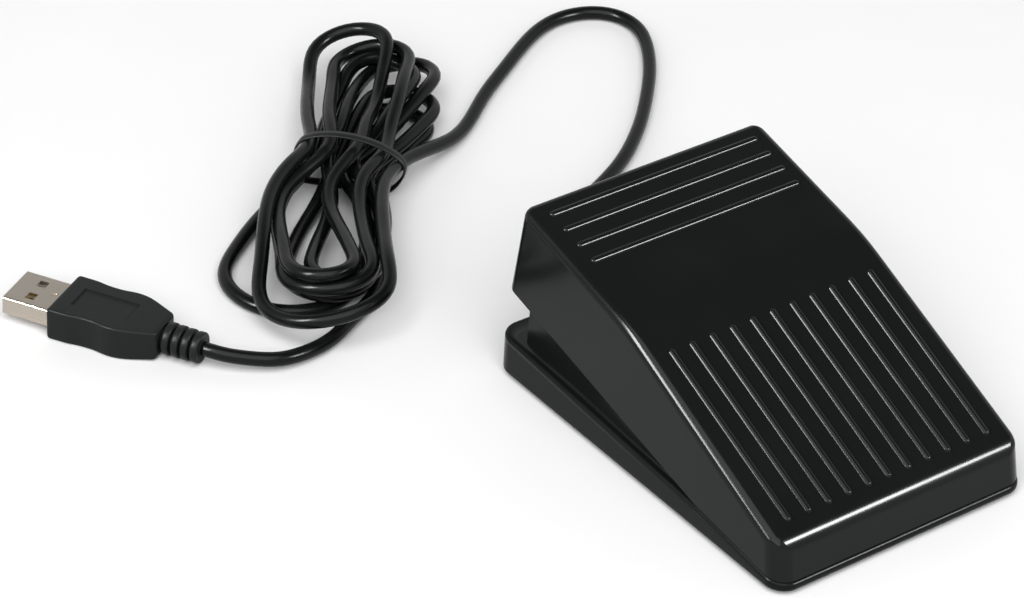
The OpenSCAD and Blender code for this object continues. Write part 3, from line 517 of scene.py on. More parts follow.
# The wedge's side view, from the low rear edge over the tread to the heel and back along the rim. An arc
# joins the flatter slope to the steeper one, with both in degrees. The sides lean in from the rim up.
flat_slope, steep_slope = 13, 23.79
arc_radius, arc_y, arc_z = 60, 26.02, -21.12
rim_half, rim_z, side_lean, cover_wall = 34.9, 2.9, math.radians(1.85), 1.6
wedge = [(48.2, 23.3), (45.7, 45)]
wedge += [(arc_y - arc_radius * math.sin(t), arc_radius * math.cos(t) + arc_z)
          for t in np.radians(np.linspace(flat_slope, steep_slope, 7))]
wedge += [(-47.6, 12), (-49.4, 3.2), (-21, 6.8)]
cover = bmesh.new()
rounding = cover.edges.layers.float.new("bevel_weight_edge")
left, right = ([cover.verts.new(Vector((hand * (rim_half - (z - rim_z) * math.tan(side_lean)), y, z)) * MM)
                for y, z in wedge] for hand in (-1, 1))
cover.faces.new(left)
cover.faces.new(right[::-1])
for k in range(10):
    cover.faces.new((left[k + 1], left[k], right[k], right[k + 1]))
bmesh.ops.recalc_face_normals(cover, faces=cover.faces)

# How far each edge is rounded, in mm. The weights are shares of the widest.
rear_corner, heel_corner, tread_side, tall_edge, heel_edge = 3, 4.5, 2.3, 2, 2.4
widest = heel_corner
for row in (left, right):
    cover.edges.get(row[0:2])[rounding] = rear_corner / widest
    cover.edges.get(row[9:11])[rounding] = heel_corner / widest
    for k in range(1, 9):
        cover.edges.get(row[k:k + 2])[rounding] = tread_side / widest
cover.edges.get((left[1], right[1]))[rounding] = tall_edge / widest
cover.edges.get((left[9], right[9]))[rounding] = heel_edge / widest


def walled(shape, thick, rounding=0):
    """The shape with its weighted edges rounded, and then a wall put on inwards, in mm."""
    mesh = bpy.data.meshes.new("blank")
    shape.to_mesh(mesh)
    shape.free()
    blank = shown("blank", mesh)
    if rounding:
        edges = blank.modifiers.new("rounded edges", "BEVEL")
        edges.limit_method, edges.width = "WEIGHT", rounding * MM
        edges.segments, edges.use_clamp_overlap = 6, False
    walls = blank.modifiers.new("walls", "SOLIDIFY")
    walls.thickness, walls.offset, walls.use_even_offset = thick * MM, -1, True
    shape = bmesh.new()
    shape.from_mesh(bpy.data.meshes.new_from_object(
        blank.evaluated_get(bpy.context.evaluated_depsgraph_get())))
    bpy.data.objects.remove(blank)
    return shape


shape = walled(cover, cover_wall, widest)


def sized_tree(name, sizes):
    """An empty Geometry Nodes tree with named size inputs, and its input and output nodes."""
    tree = bpy.data.node_groups.new(name, "GeometryNodeTree")
    for label, kind in sizes.items():
        tree.interface.new_socket(label, in_out="INPUT", socket_type=kind)
    tree.interface.new_socket("Geometry", in_out="OUTPUT", socket_type="NodeSocketGeometry")
    return tree, tree.nodes.new("NodeGroupInput"), tree.nodes.new("NodeGroupOutput")


def made_by(tree, name, sizes, start=None):
    """A plain mesh object made by a tree at the given sizes."""
    piece = shown(name, start or bpy.data.meshes.new(name + "_start"))
    maker = piece.modifiers.new("maker", "NODES")
    maker.node_group = tree
    inputs = {s.name: s.identifier for s in tree.interface.items_tree if s.in_out == "INPUT"}
    for label, value in sizes.items():
        maker[inputs[label]] = value
    made = bpy.data.meshes.new_from_object(piece.evaluated_get(bpy.context.evaluated_depsgraph_get()))
    piece.modifiers.clear()
    piece.data = made
    return piece


# A rib is a ball drawn out along the tread. The tree lays a row of them on a flat and tilts it to the
# tread.
tree, sizes, out = sized_tree("tread_ribs", {
    "Ribs": "NodeSocketInt", "Length": "NodeSocketFloat", "Radius": "NodeSocketFloat",
    "First": "NodeSocketVector", "Step": "NodeSocketVector", "Turn": "NodeSocketVector",
    "Tread At": "NodeSocketVector", "Slope": "NodeSocketVector"})
ball = add_node(tree, "GeometryNodeMeshUVSphere", {
    "Segments": 20, "Rings": 11, "Radius": sizes.outputs["Radius"]})
lay_down = add_node(tree, "GeometryNodeTransform", {
    "Geometry": ball.outputs[0], "Rotation": (0, math.pi / 2, 0)})
spot = add_node(tree, "GeometryNodeInputPosition")
split = add_node(tree, "ShaderNodeSeparateXYZ", {0: spot.outputs[0]})
end = add_node(tree, "ShaderNodeMath", {0: split.outputs["X"]}, operation="SIGN")
half = add_node(tree, "ShaderNodeMath", {0: sizes.outputs["Length"], 1: 0.5}, operation="MULTIPLY")
drawn = add_node(tree, "ShaderNodeMath", {0: end.outputs[0], 1: half.outputs[0]}, operation="MULTIPLY")
apart_by = add_node(tree, "ShaderNodeCombineXYZ", {0: drawn.outputs[0]})
rib = add_node(tree, "GeometryNodeSetPosition", {
    "Geometry": lay_down.outputs[0], "Offset": apart_by.outputs[0]})
turned_rib = add_node(tree, "GeometryNodeTransform", {
    "Geometry": rib.outputs[0], "Rotation": sizes.outputs["Turn"]})
row = add_node(tree, "GeometryNodeMeshLine", {
    "Count": sizes.outputs["Ribs"], "Start Location": sizes.outputs["First"],
    "Offset": sizes.outputs["Step"]}, mode="OFFSET")
ribs = add_node(tree, "GeometryNodeInstanceOnPoints", {
    "Points": row.outputs[0], "Instance": turned_rib.outputs[0]})
tilted = add_node(tree, "GeometryNodeTransform", {
    "Geometry": ribs.outputs[0], "Translation": sizes.outputs["Tread At"],
    "Rotation": sizes.outputs["Slope"]})
real = add_node(tree, "GeometryNodeRealizeInstances", {"Geometry": tilted.outputs[0]})
painted = add_node(tree, "GeometryNodeSetMaterial", {"Geometry": real.outputs[0], "Material": pedal_abs})
tree.links.new(painted.outputs[0], out.inputs[0])
rib_radius, rib_sunk, slopes_meet = 0.985, 0.375, Vector((0, 7, 36.065))
for name, count, length, first, step_by, turn, slope in (
    ("ribs_across", 4, 56.6, (0, 34.72, -rib_sunk), (0, -5.15, 0), 0, flat_slope),
    ("ribs_along", 11, 44.57, (-27.85, -31.785, -rib_sunk), (5.57, 0, 0), 90, steep_slope),
):
    made = made_by(tree, name, {
        "Ribs": count, "Length": length * MM, "Radius": rib_radius * MM, "First": Vector(first) * MM,
        "Step": Vector(step_by) * MM, "Turn": (0, 0, math.radians(turn)), "Tread At": slopes_meet * MM,
        "Slope": (math.radians(slope), 0, 0)})
    shape.from_mesh(made.data)
    bpy.data.objects.remove(made)


def plate(view, x0, x1):
    """A plate inside the pedal: a side view of (y, z) points from one x to another."""
    near, far = ([shape.verts.new(Vector((x, y, z)) * MM) for y, z in view] for x in (x0, x1))
    faces = [shape.faces.new(near), shape.faces.new(far[::-1])]
    for k in range(len(view)):
        faces.append(shape.faces.new((near[k - 1], near[k], far[k], far[k - 1])))
    bmesh.ops.recalc_face_normals(shape, faces=faces)


def under_tread(y):
    """The height of the middle of the tread's wall."""
    return np.interp(y, [p[0] for p in wedge[9:0:-1]], [p[1] for p in wedge[9:0:-1]]) - 0.9


def web(y, half_long, bottom, x, half_wide):
    """A plain web that hangs from the tread down to a height."""
    plate([(y - half_long, under_tread(y - half_long)), (y - half_long, bottom), (y + half_long, bottom),
           (y + half_long, under_tread(y + half_long))], x - half_wide, x + half_wide)


def arc(y, z, r, first, last):
    """Points of (y, z) on a round edge."""
    return [(y + r * math.cos(t), z + r * math.sin(t)) for t in np.radians(np.linspace(first, last, 14))]


pin_y, pin_z, lug_x, lug_radius, snap_radius = -19, 9, 21, 4, 1.55
snap_lug = [
    (pin_y - lug_radius, under_tread(pin_y - lug_radius)), *arc(pin_y, pin_z, lug_radius, 180, 252.5),
    *arc(pin_y, pin_z, snap_radius, 219.3, -39.3), *arc(pin_y, pin_z, lug_radius, 287.5, 360),
    (pin_y + lug_radius, under_tread(pin_y + lug_radius))]
blade_y, blade_z, blade_half = 14, 22.81, 1.5
press_blade = [
    (blade_y - blade_half, under_tread(blade_y - blade_half)), *arc(blade_y, blade_z, blade_half, 180, 360),
    (blade_y + blade_half, under_tread(blade_y + blade_half))]
plate(press_blade, -2.5, 2.5)
web(blade_y, half_long=5, bottom=blade_z + 5, x=0, half_wide=1)

# Each spring's seat is a disc on two crossed webs. At rest it leans by half the pedal's travel, so it is
# level halfway down.
spring_x, spring_y, seat_z, seat_lean, web_z = 23, 12, 24.03, math.radians(4), 25
seat_profile = [(0.01, 0), (5.7, 0), (6, 0.3), (6, 1.7), (5.7, 2), (0.01, 2)]
for hand in (-1, 1):
    plate(snap_lug, lug_x * hand - 2, lug_x * hand + 2)
    web(spring_y, half_long=4.5, bottom=web_z, x=spring_x * hand, half_wide=1)
    web(spring_y, half_long=1, bottom=web_z, x=spring_x * hand, half_wide=4.5)
    seat = turned(
        seat_profile, (spring_x * hand, spring_y, seat_z), (0, -math.sin(seat_lean), math.cos(seat_lean)))
    rows = [[shape.verts.new(p * MM) for p in ring] for ring in seat]
    faces = [shape.faces.new((a[k - 1], a[k], b[k], b[k - 1]))
             for a, b in zip(rows, rows[1:]) for k in range(len(a))]
    faces += [shape.faces.new(rows[0]), shape.faces.new(rows[-1])]
    bmesh.ops.recalc_face_normals(shape, faces=faces)
settled(shape, "pedal", pedal_abs, "pedal_cover", "pedal", sharp=38)


# Springs
# Two coil springs of drawn steel wire stand on pegs in the tray and push the pedal up.

# Spring steel: drawn wire, darker than the plated parts.
spring_steel = mottled("drawn_spring_steel", "8d8f92", "75777a", 0.3, 0.28, 0.003, Metallic=1.0)

# The wire climbs between its two closed ends, each of three quarters of a turn.
closed_end = 0.75
tree, sizes, out = sized_tree("coil_spring", {
    "Radius": "NodeSocketFloat", "Wire": "NodeSocketFloat", "Height": "NodeSocketFloat",
    "Turns": "NodeSocketFloat", "Foot": "NodeSocketVector"})
rod = add_node(tree, "GeometryNodeCurvePrimitiveLine", {"End": (0, 0, 1)})
many = add_node(tree, "GeometryNodeResampleCurve", {"Curve": rod.outputs[0], "Count": 260})
share = add_node(tree, "GeometryNodeSplineParameter")
wound = add_node(tree, "ShaderNodeMath", {
    0: share.outputs["Factor"], 1: sizes.outputs["Turns"]}, operation="MULTIPLY")
turned_by = add_node(tree, "ShaderNodeMath", {0: wound.outputs[0], 1: 2 * math.pi}, operation="MULTIPLY")
cosine = add_node(tree, "ShaderNodeMath", {0: turned_by.outputs[0]}, operation="COSINE")
sine = add_node(tree, "ShaderNodeMath", {0: turned_by.outputs[0]}, operation="SINE")
x = add_node(tree, "ShaderNodeMath", {0: cosine.outputs[0], 1: sizes.outputs["Radius"]}, operation="MULTIPLY")
y = add_node(tree, "ShaderNodeMath", {0: sine.outputs[0], 1: sizes.outputs["Radius"]}, operation="MULTIPLY")
last = add_node(tree, "ShaderNodeMath", {0: sizes.outputs["Turns"], 1: closed_end}, operation="SUBTRACT")
half = add_node(tree, "ShaderNodeMath", {0: sizes.outputs["Wire"], 1: 0.5}, operation="MULTIPLY")
top = add_node(tree, "ShaderNodeMath", {0: sizes.outputs["Height"], 1: half.outputs[0]}, operation="SUBTRACT")
z = add_node(tree, "ShaderNodeMapRange", {
    0: wound.outputs[0], 1: closed_end, 2: last.outputs[0], 3: half.outputs[0], 4: top.outputs[0]})
spot = add_node(tree, "ShaderNodeCombineXYZ", {0: x.outputs[0], 1: y.outputs[0], 2: z.outputs[0]})
stood = add_node(tree, "ShaderNodeVectorMath", {
    0: spot.outputs[0], 1: sizes.outputs["Foot"]}, operation="ADD")
coil = add_node(tree, "GeometryNodeSetPosition", {"Geometry": many.outputs[0], "Position": stood.outputs[0]})
section = add_node(tree, "GeometryNodeCurvePrimitiveCircle", {"Resolution": 12, "Radius": half.outputs[0]})
wire = add_node(tree, "GeometryNodeCurveToMesh", {
    "Curve": coil.outputs[0], "Profile Curve": section.outputs[0], "Fill Caps": True})
real = add_node(tree, "GeometryNodeRealizeInstances", {"Geometry": wire.outputs[0]})
painted = add_node(tree, "GeometryNodeSetMaterial", {"Geometry": real.outputs[0], "Material": spring_steel})
tree.links.new(painted.outputs[0], out.inputs[0])
peg_z = 2.83
for hand, x in (("left", -spring_x), ("right", spring_x)):
    foot = Vector((x, spring_y, peg_z)) * MM
    spring = made_by(tree, f"coil_{hand}", {
        "Radius": 4.2 * MM, "Wire": 1.0 * MM, "Height": 20.74 * MM, "Turns": 6.5, "Foot": foot})
    spring.data.shade_smooth()
    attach(spring, "base")
    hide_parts(f"spring_{hand}")
    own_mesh(spring)


# Circuit board
# A small board of green glass-epoxy laminate, screwed to four posts of the tray. It carries the switch, a
# controller chip, a crystal, a capacitor and the header for the wires.

# Solder mask over laminate: semi-gloss green with the copper tracks showing as paler lines.
track_apart, track_long, board_deep = 2.6, 7.8, 40
laminate = bpy.data.materials.new("solder_mask_laminate")
laminate.use_nodes = True
tree, shader = laminate.node_tree, laminate.node_tree.nodes["Principled BSDF"]
place = add_node(tree, "ShaderNodeTexCoord")
bent = add_node(tree, "ShaderNodeMapping", {
    "Vector": place.outputs["Object"], "Scale": (1000 / track_apart, 1000 / track_long, 1000 / board_deep)})
tracks = add_node(tree, "ShaderNodeTexBrick", {
    "Vector": bent.outputs[0], "Color1": linear("0f4a26"), "Color2": linear("12522b"),
    "Mortar": linear("2c7a46"), "Scale": 1.0, "Mortar Size": 0.09, "Brick Width": 0.5, "Row Height": 0.25})
edge = add_node(tree, "ShaderNodeBump", {
    "Height": tracks.outputs["Fac"], "Strength": 1, "Distance": 0.03 * MM})
tree.links.new(tracks.outputs["Color"], shader.inputs["Base Color"])
tree.links.new(edge.outputs[0], shader.inputs["Normal"])
shader.inputs["Roughness"].default_value = 0.34
nodes["circuit_board"].material_slots[0].material = laminate


# Screws
# Four small pan-head screws hold the board and two hold the cable clamp. They are cold-headed steel, zinc
# plated, with a cross recess.

slot_long, slot_wide, slot_deep = 2.6 * MM, 0.6 * MM, 1.4 * MM
tree, sizes, out = sized_tree("pan_head_screw", {
    "Seats": "NodeSocketGeometry", "Head Radius": "NodeSocketFloat", "Head Height": "NodeSocketFloat",
    "Shank Radius": "NodeSocketFloat", "Shank Length": "NodeSocketFloat"})
crown = add_node(tree, "ShaderNodeMath", {0: sizes.outputs["Head Radius"], 1: 0.72}, operation="MULTIPLY")
head = add_node(tree, "GeometryNodeMeshCone", {
    "Vertices": 28, "Side Segments": 1, "Radius Top": crown.outputs[0],
    "Radius Bottom": sizes.outputs["Head Radius"], "Depth": sizes.outputs["Head Height"]})
shank = add_node(tree, "GeometryNodeMeshCylinder", {
    "Vertices": 28, "Radius": sizes.outputs["Shank Radius"], "Depth": sizes.outputs["Shank Length"]})
sunk = add_node(tree, "ShaderNodeMath", {
    0: sizes.outputs["Shank Length"], 1: -0.5, 2: 0.2 * MM}, operation="MULTIPLY_ADD")
down = add_node(tree, "ShaderNodeCombineXYZ", {2: sunk.outputs[0]})
hung = add_node(tree, "GeometryNodeTransform", {
    "Geometry": shank.outputs[0], "Translation": down.outputs[0]})
blade_a = add_node(tree, "GeometryNodeMeshCube", {"Size": (slot_long, slot_wide, slot_deep)})
blade_b = add_node(tree, "GeometryNodeMeshCube", {"Size": (slot_wide, slot_long, slot_deep)})
whole = add_node(tree, "GeometryNodeMeshBoolean", operation="UNION")
tree.links.new(hung.outputs[0], whole.inputs["Mesh 2"])
tree.links.new(head.outputs[0], whole.inputs["Mesh 2"])
cross = add_node(tree, "GeometryNodeMeshBoolean", operation="UNION")
tree.links.new(blade_b.outputs[0], cross.inputs["Mesh 2"])
tree.links.new(blade_a.outputs[0], cross.inputs["Mesh 2"])
deep = add_node(tree, "ShaderNodeCombineXYZ", {2: sizes.outputs["Head Height"]})
driver_hole = add_node(tree, "GeometryNodeTransform", {
    "Geometry": cross.outputs[0], "Translation": deep.outputs[0]})
cut = add_node(tree, "GeometryNodeMeshBoolean", {"Mesh 1": whole.outputs[0]}, operation="DIFFERENCE")
tree.links.new(driver_hole.outputs[0], cut.inputs["Mesh 2"])
placed = add_node(tree, "GeometryNodeInstanceOnPoints", {
    "Points": sizes.outputs["Seats"], "Instance": cut.outputs[0]})
real = add_node(tree, "GeometryNodeRealizeInstances", {"Geometry": placed.outputs[0]})
painted = add_node(tree, "GeometryNodeSetMaterial", {"Geometry": real.outputs[0], "Material": plated_steel})
tree.links.new(painted.outputs[0], out.inputs[0])
for name, seats, shank_long, stands_for in (
    ("board_screws", [(x, y, 6.8) for x in (-13, 13) for y in (-11, 22)], 4.4, [
        "board_screw_front_left", "board_screw_front_right", "board_screw_rear_left",
        "board_screw_rear_right"]),
    ("clamp_screws", [(-6.5, 36, 9.95), (6.5, 36, 9.95)], 5.8, ["clamp_screw_left", "clamp_screw_right"]),
):
    start = bpy.data.meshes.new(name + "_seats")
    start.from_pydata([Vector(s) * MM for s in seats], [], [])
    screws = made_by(tree, name, {
        "Head Radius": 2.1 * MM, "Head Height": 1.5 * MM, "Shank Radius": 1.1 * MM,
        "Shank Length": shank_long * MM}, start)
    screws.data.shade_smooth()
    screws.data.set_sharp_from_angle(angle=math.radians(30))
    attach(screws, "base")
    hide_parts(*stands_for)


# Switch
# A snap-action lever switch, soldered to the board. Its case is black glass-filled polyester, its lever a
# strip of stainless steel, its plunger red acetal, and its pins tinned brass.

# Glass-filled polyester: dull black with the faint swirl of its fibres.
filled_polyester = mottled("glass_filled_polyester", "242426", "1b1b1d", 0.4, 0.5, 0.01)
# Rolled stainless strip: bright with a soft sheen along the roll.
stainless = mottled("rolled_stainless", "c9c6bf", "b0ada6", 0.35, 0.26, 0.003, Metallic=1.0)
# Acetal: waxy and slick.
acetal = mottled("red_acetal", "b3241d", "9c1c17", 0.6, 0.34, 0.004)
# Tinned brass: soft silver with a warm cast.
tinned_brass = mottled("tinned_brass", "cfc4a4", "b5a67e", 0.3, 0.32, 0.004, Metallic=1.0)
for name, material in (("switch_case", filled_polyester), ("switch_lever", stainless),
                       ("switch_plunger", acetal), ("switch_terminals", tinned_brass)):
    nodes[name].material_slots[0].material = material


# Small parts on the board
# A controller chip in black epoxy with tinned legs, a crystal in a drawn steel can, a capacitor in a shrunk
# sleeve, and a white nylon header with its plug.

# Chip: epoxy between its rows of tinned legs, which start 2 mm from its middle.
chip_left, legs_from = 9.5, 2.02
chip_epoxy = mottled("chip_epoxy_and_legs", "232324", "19191a", 0.2, 0.6, 0.006)
tree, shader = chip_epoxy.node_tree, chip_epoxy.node_tree.nodes["Principled BSDF"]
place = add_node(tree, "ShaderNodeTexCoord")
spot = add_node(tree, "ShaderNodeSeparateXYZ", {"Vector": place.outputs["Object"]})
middle = add_node(tree, "ShaderNodeMath", {0: spot.outputs["X"], 1: chip_left * MM}, operation="ADD")
off = add_node(tree, "ShaderNodeMath", {0: middle.outputs[0]}, operation="ABSOLUTE")
leg = add_node(tree, "ShaderNodeMath", {0: off.outputs[0], 1: legs_from * MM}, operation="GREATER_THAN")
was = shader.inputs["Base Color"].links[0].from_socket
tint = add_node(tree, "ShaderNodeMix", {0: leg.outputs[0], 6: was, 7: linear("c8c9ca")}, data_type="RGBA")
tree.links.new(tint.outputs[2], shader.inputs["Base Color"])
tree.links.new(leg.outputs[0], shader.inputs["Metallic"])
# Drawn can: bright nickel over steel.
drawn_can = mottled("drawn_nickel_can", "d2d3d4", "bcbdbf", 0.5, 0.2, 0.003, Metallic=1.0)
# Capacitor sleeve: glossy shrunk film.
shrunk_sleeve = mottled("shrunk_film_sleeve", "1d2440", "161b33", 0.8, 0.25, 0.004)
# Nylon: milky and slightly waxy.
nylon = mottled("milky_nylon", "ece8dc", "e0dccf", 0.6, 0.42, 0.006, Subsurface_Weight=0.15,
                Subsurface_Radius=(0.8 * MM, 0.7 * MM, 0.6 * MM))
for name, material in (("controller_chip", chip_epoxy), ("crystal", drawn_can), ("capacitor", shrunk_sleeve),
                       ("wire_header", nylon), ("wire_plug", nylon)):
    nodes[name].material_slots[0].material = material


# Inner wires and clamp
# Four thin wires in coloured sleeves run from the header's plug to the cord's end. A bar of black nylon,
# held by two screws, clamps the cord to the tray.

# Wire sleeves: soft vinyl in red, white, green and black, from left to right. They draw together along Y.
fan_from, fan_to, apart_from, apart_to = 25.5 * MM, 31.2 * MM, 2.2 * MM, 0.7 * MM
wire_sleeve = mottled("coloured_wire_sleeve", "b02a22", "a02620", 0.5, 0.4, 0.005)
tree, shader = wire_sleeve.node_tree, wire_sleeve.node_tree.nodes["Principled BSDF"]
place = add_node(tree, "ShaderNodeTexCoord")
spot = add_node(tree, "ShaderNodeSeparateXYZ", {"Vector": place.outputs["Object"]})
spread = add_node(tree, "ShaderNodeMapRange", {
    0: spot.outputs["Y"], 1: fan_from, 2: fan_to, 3: apart_from, 4: apart_to})
order = add_node(tree, "ShaderNodeMath", {0: spot.outputs["X"], 1: spread.outputs[0]}, operation="DIVIDE")
share = add_node(tree, "ShaderNodeMapRange", {0: order.outputs[0], 1: -2.0, 2: 2.0})
sleeves = add_node(tree, "ShaderNodeValToRGB", {"Fac": share.outputs[0]})
sleeves.color_ramp.interpolation = "CONSTANT"
sleeves.color_ramp.elements[0].color = linear("a8241d")
sleeves.color_ramp.elements[1].position, sleeves.color_ramp.elements[1].color = 0.25, linear("dcdad2")
for position, colour in ((0.5, "1f6b35"), (0.75, "1b1b1c")):
    sleeves.color_ramp.elements.new(position).color = linear(colour)
tree.links.new(sleeves.outputs["Color"], shader.inputs["Base Color"])
nodes["inner_wires"].material_slots[0].material = wire_sleeve
# Clamp nylon: black, with a dull mould finish.
clamp_nylon = mottled("black_nylon", "29292a", "202021", 0.4, 0.5, 0.01)
nodes["cable_clamp"].material_slots[0].material = clamp_nylon


# Cord gland
# A soft vinyl bush moulded round the cord. It snaps into the rear wall, and its tapered nose keeps the cord
# from bending sharply there.

# Soft vinyl: black, matt, with a fine spark-eroded grain.
soft_vinyl = mottled(
    "soft_moulded_vinyl", "171918", "131514", 0.35, 0.36, 0.008, IOR=1.53, Specular_IOR_Level=0.075)
gland_at = (0, base_half_long, 6.2)
bush_profile = [
    (1.75, -3.6), (2.5, -3.6), (2.7, -3.4), (2.7, -2.3), (2.6, -2.2), (2.4, -2.2), (2.4, -0.02), (3.8, -0.02),
    (4, 0.2), (4, 1.2), (3.9, 1.45), (3.6, 1.62), (3.3, 1.8), (3.1, 3), (2.8, 5), (2.55, 7.4), (2.4, 7.85),
    (2.1, 8), (1.75, 8)]
gland = skin("cord_bush", turned(bush_profile, gland_at, (0, 1, 0)), soft_vinyl, closed=True, sharp=40)
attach(gland, "base")
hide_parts("cord_gland")


# Plug's strain relief
# A tapered sleeve with four flanges, moulded on the cord in the same vinyl as the grip.

plug_place = Matrix.Translation(Vector(plug_at) * MM) @ Matrix.Rotation(plug_turn, 4, "Z")
relief_long, flange_deep, flange_round = 9.5, 1.6, 0.35
tree, sizes, out = sized_tree("ribbed_sleeve", {
    "Length": "NodeSocketFloat", "Thin Radius": "NodeSocketFloat", "Thick Radius": "NodeSocketFloat",
    "Flanges": "NodeSocketInt", "First": "NodeSocketFloat", "Pitch": "NodeSocketFloat",
    "Flange Radius": "NodeSocketFloat", "Flange Width": "NodeSocketFloat"})
core = add_node(tree, "GeometryNodeMeshCone", {
    "Vertices": 36, "Radius Top": sizes.outputs["Thick Radius"],
    "Radius Bottom": sizes.outputs["Thin Radius"], "Depth": sizes.outputs["Length"]})
path = add_node(tree, "GeometryNodeCurvePrimitiveCircle", {
    "Resolution": 48, "Radius": sizes.outputs["Flange Radius"]})
section = add_node(tree, "GeometryNodeCurvePrimitiveQuadrilateral", {
    "Width": flange_deep * MM, "Height": sizes.outputs["Flange Width"]})
rounded = add_node(tree, "GeometryNodeFilletCurve", {
    "Curve": section.outputs[0], "Count": 4, "Radius": flange_round * MM}, mode="POLY")
flange = add_node(tree, "GeometryNodeCurveToMesh", {
    "Curve": path.outputs[0], "Profile Curve": rounded.outputs[0]})
start = add_node(tree, "ShaderNodeCombineXYZ", {2: sizes.outputs["First"]})
apart_by = add_node(tree, "ShaderNodeCombineXYZ", {2: sizes.outputs["Pitch"]})
row = add_node(tree, "GeometryNodeMeshLine", {
    "Count": sizes.outputs["Flanges"], "Start Location": start.outputs[0],
    "Offset": apart_by.outputs[0]}, mode="OFFSET")
number = add_node(tree, "GeometryNodeInputIndex")
grown = add_node(tree, "ShaderNodeMath", {0: number.outputs[0], 1: 0.015, 2: 1.0}, operation="MULTIPLY_ADD")
larger = add_node(tree, "ShaderNodeCombineXYZ", {0: grown.outputs[0], 1: grown.outputs[0], 2: 1.0})
ringed = add_node(tree, "GeometryNodeInstanceOnPoints", {
    "Points": row.outputs[0], "Instance": flange.outputs[0], "Scale": larger.outputs[0]})
joined = add_node(tree, "GeometryNodeJoinGeometry")
tree.links.new(ringed.outputs[0], joined.inputs[0])
tree.links.new(core.outputs[0], joined.inputs[0])
real = add_node(tree, "GeometryNodeRealizeInstances", {"Geometry": joined.outputs[0]})
painted = add_node(tree, "GeometryNodeSetMaterial", {"Geometry": real.outputs[0], "Material": soft_vinyl})
tree.links.new(painted.outputs[0], out.inputs[0])
relief = made_by(tree, "plug_sleeve", {
    "Length": relief_long * MM, "Thin Radius": 2.2 * MM, "Thick Radius": 2.7 * MM, "Flanges": 4,
    "First": 0.95 * MM, "Pitch": 2.35 * MM, "Flange Radius": 2.85 * MM, "Flange Width": 1.7 * MM})
relief.data.transform(plug_place @ Matrix.Rotation(math.radians(-90), 4, "X"))
relief.data.shade_smooth()
relief.data.set_sharp_from_angle(angle=math.radians(40))
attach(relief, "base")
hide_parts("plug_relief")


# Plug's grip
# The finger grip, moulded over the end of the cord and the shell's tail in soft black vinyl. Its sides are
# drawn in for the fingers, and a bare shallow recess lies in its top.

# Half its width and thickness along its length, from the sleeve to the shell.
grip_long, end_round, edge_round = 26, 0.8, 0.65
wide_at = ([0, 6.5, 9, 11.5, 14, 18, 20.5, grip_long], [4.6, 7.2, 7.8, 7.8, 7.25, 7.25, 7.75, 7.8])
thick_at = ([0, 7, grip_long], [3.6, 4.0, 4.0])
recess_from, recess_to, recess_half, recess_deep = 8, 22, 3.6, 0.45
ends = [0, 0.1, 0.35, end_round]
stations = sorted([*ends, *(grip_long - s for s in ends), recess_from, recess_from + 0.15, recess_to - 0.15,
                   recess_to, *np.arange(1.5, 25, 0.75)])


def corner(cx, cz, first):
    """Points on a rounded long edge of the grip, through a quarter turn."""
    return [(cx + edge_round * math.cos(a), cz + edge_round * math.sin(a))
            for a in np.radians(np.linspace(first, first + 90, 6))]


rings = []
for s in stations:
    from_end = min(s, grip_long - s, end_round)
    drawn_in = end_round - math.sqrt(max(0, end_round ** 2 - (end_round - from_end) ** 2))
    near = np.linspace(s - 1.2, s + 1.2, 9)
    w = np.interp(near, *wide_at).mean() - drawn_in
    t = np.interp(near, *thick_at).mean() - drawn_in
    sunk = recess_deep if recess_from + 0.1 < s < recess_to - 0.1 else 0
    panel = min(recess_half, w - edge_round - 0.3)
    ring = [
        *corner(w - edge_round, edge_round - t, -90), *corner(w - edge_round, t - edge_round, 0),
        (panel, t), (panel - 0.08, t - sunk), (0.08 - panel, t - sunk), (-panel, t),
        *corner(edge_round - w, t - edge_round, 90), *corner(edge_round - w, edge_round - t, 180)]
    rings.append([(x, relief_long + s, z) for x, z in ring])
grip = skin("plug_finger_grip", rings, soft_vinyl, sharp=30)
grip.data.transform(plug_place)
even = grip.modifiers.new("even shading", "WEIGHTED_NORMAL")
even.keep_sharp = True
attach(grip, "base")
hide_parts("plug_grip")


# Plug's shell
# A strip of nickel-plated steel folded into a flat tube, with two latch windows on its top and bottom, and
# a pressed dimple. The tongue inside it is white plastic and carries four gilded contacts.

# Nickel plate: warm bright metal with the fine drag marks of rolling, drawn along the plug.
drag_wide, drag_long = 0.5 * MM, 8 * MM
nickel = bpy.data.materials.new("nickel_plated_sheet")
nickel.use_nodes = True
tree, shader = nickel.node_tree, nickel.node_tree.nodes["Principled BSDF"]
place = add_node(tree, "ShaderNodeTexCoord")
drag = add_node(tree, "ShaderNodeMapping", {
    "Vector": place.outputs["Object"], "Rotation": (0, 0, plug_turn),
    "Scale": (drag_wide, drag_long, drag_wide)}, vector_type="TEXTURE")
lines = add_node(tree, "ShaderNodeTexNoise", {"Vector": drag.outputs[0], "Scale": 1.0, "Detail": 2})
tint = add_node(tree, "ShaderNodeMix", {
    0: lines.outputs[0], 6: linear("aea59a"), 7: linear("b9b1a7")}, data_type="RGBA")
gloss = add_node(tree, "ShaderNodeMapRange", {0: lines.outputs[0], 1: 0.3, 2: 0.7, 3: 0.26, 4: 0.34})
bump = add_node(tree, "ShaderNodeBump", {"Height": lines.outputs[0], "Strength": 1, "Distance": 0.0008 * MM})
tree.links.new(tint.outputs[2], shader.inputs["Base Color"])
tree.links.new(gloss.outputs[0], shader.inputs["Roughness"])
tree.links.new(bump.outputs[0], shader.inputs["Normal"])
shader.inputs["Metallic"].default_value = 1.0

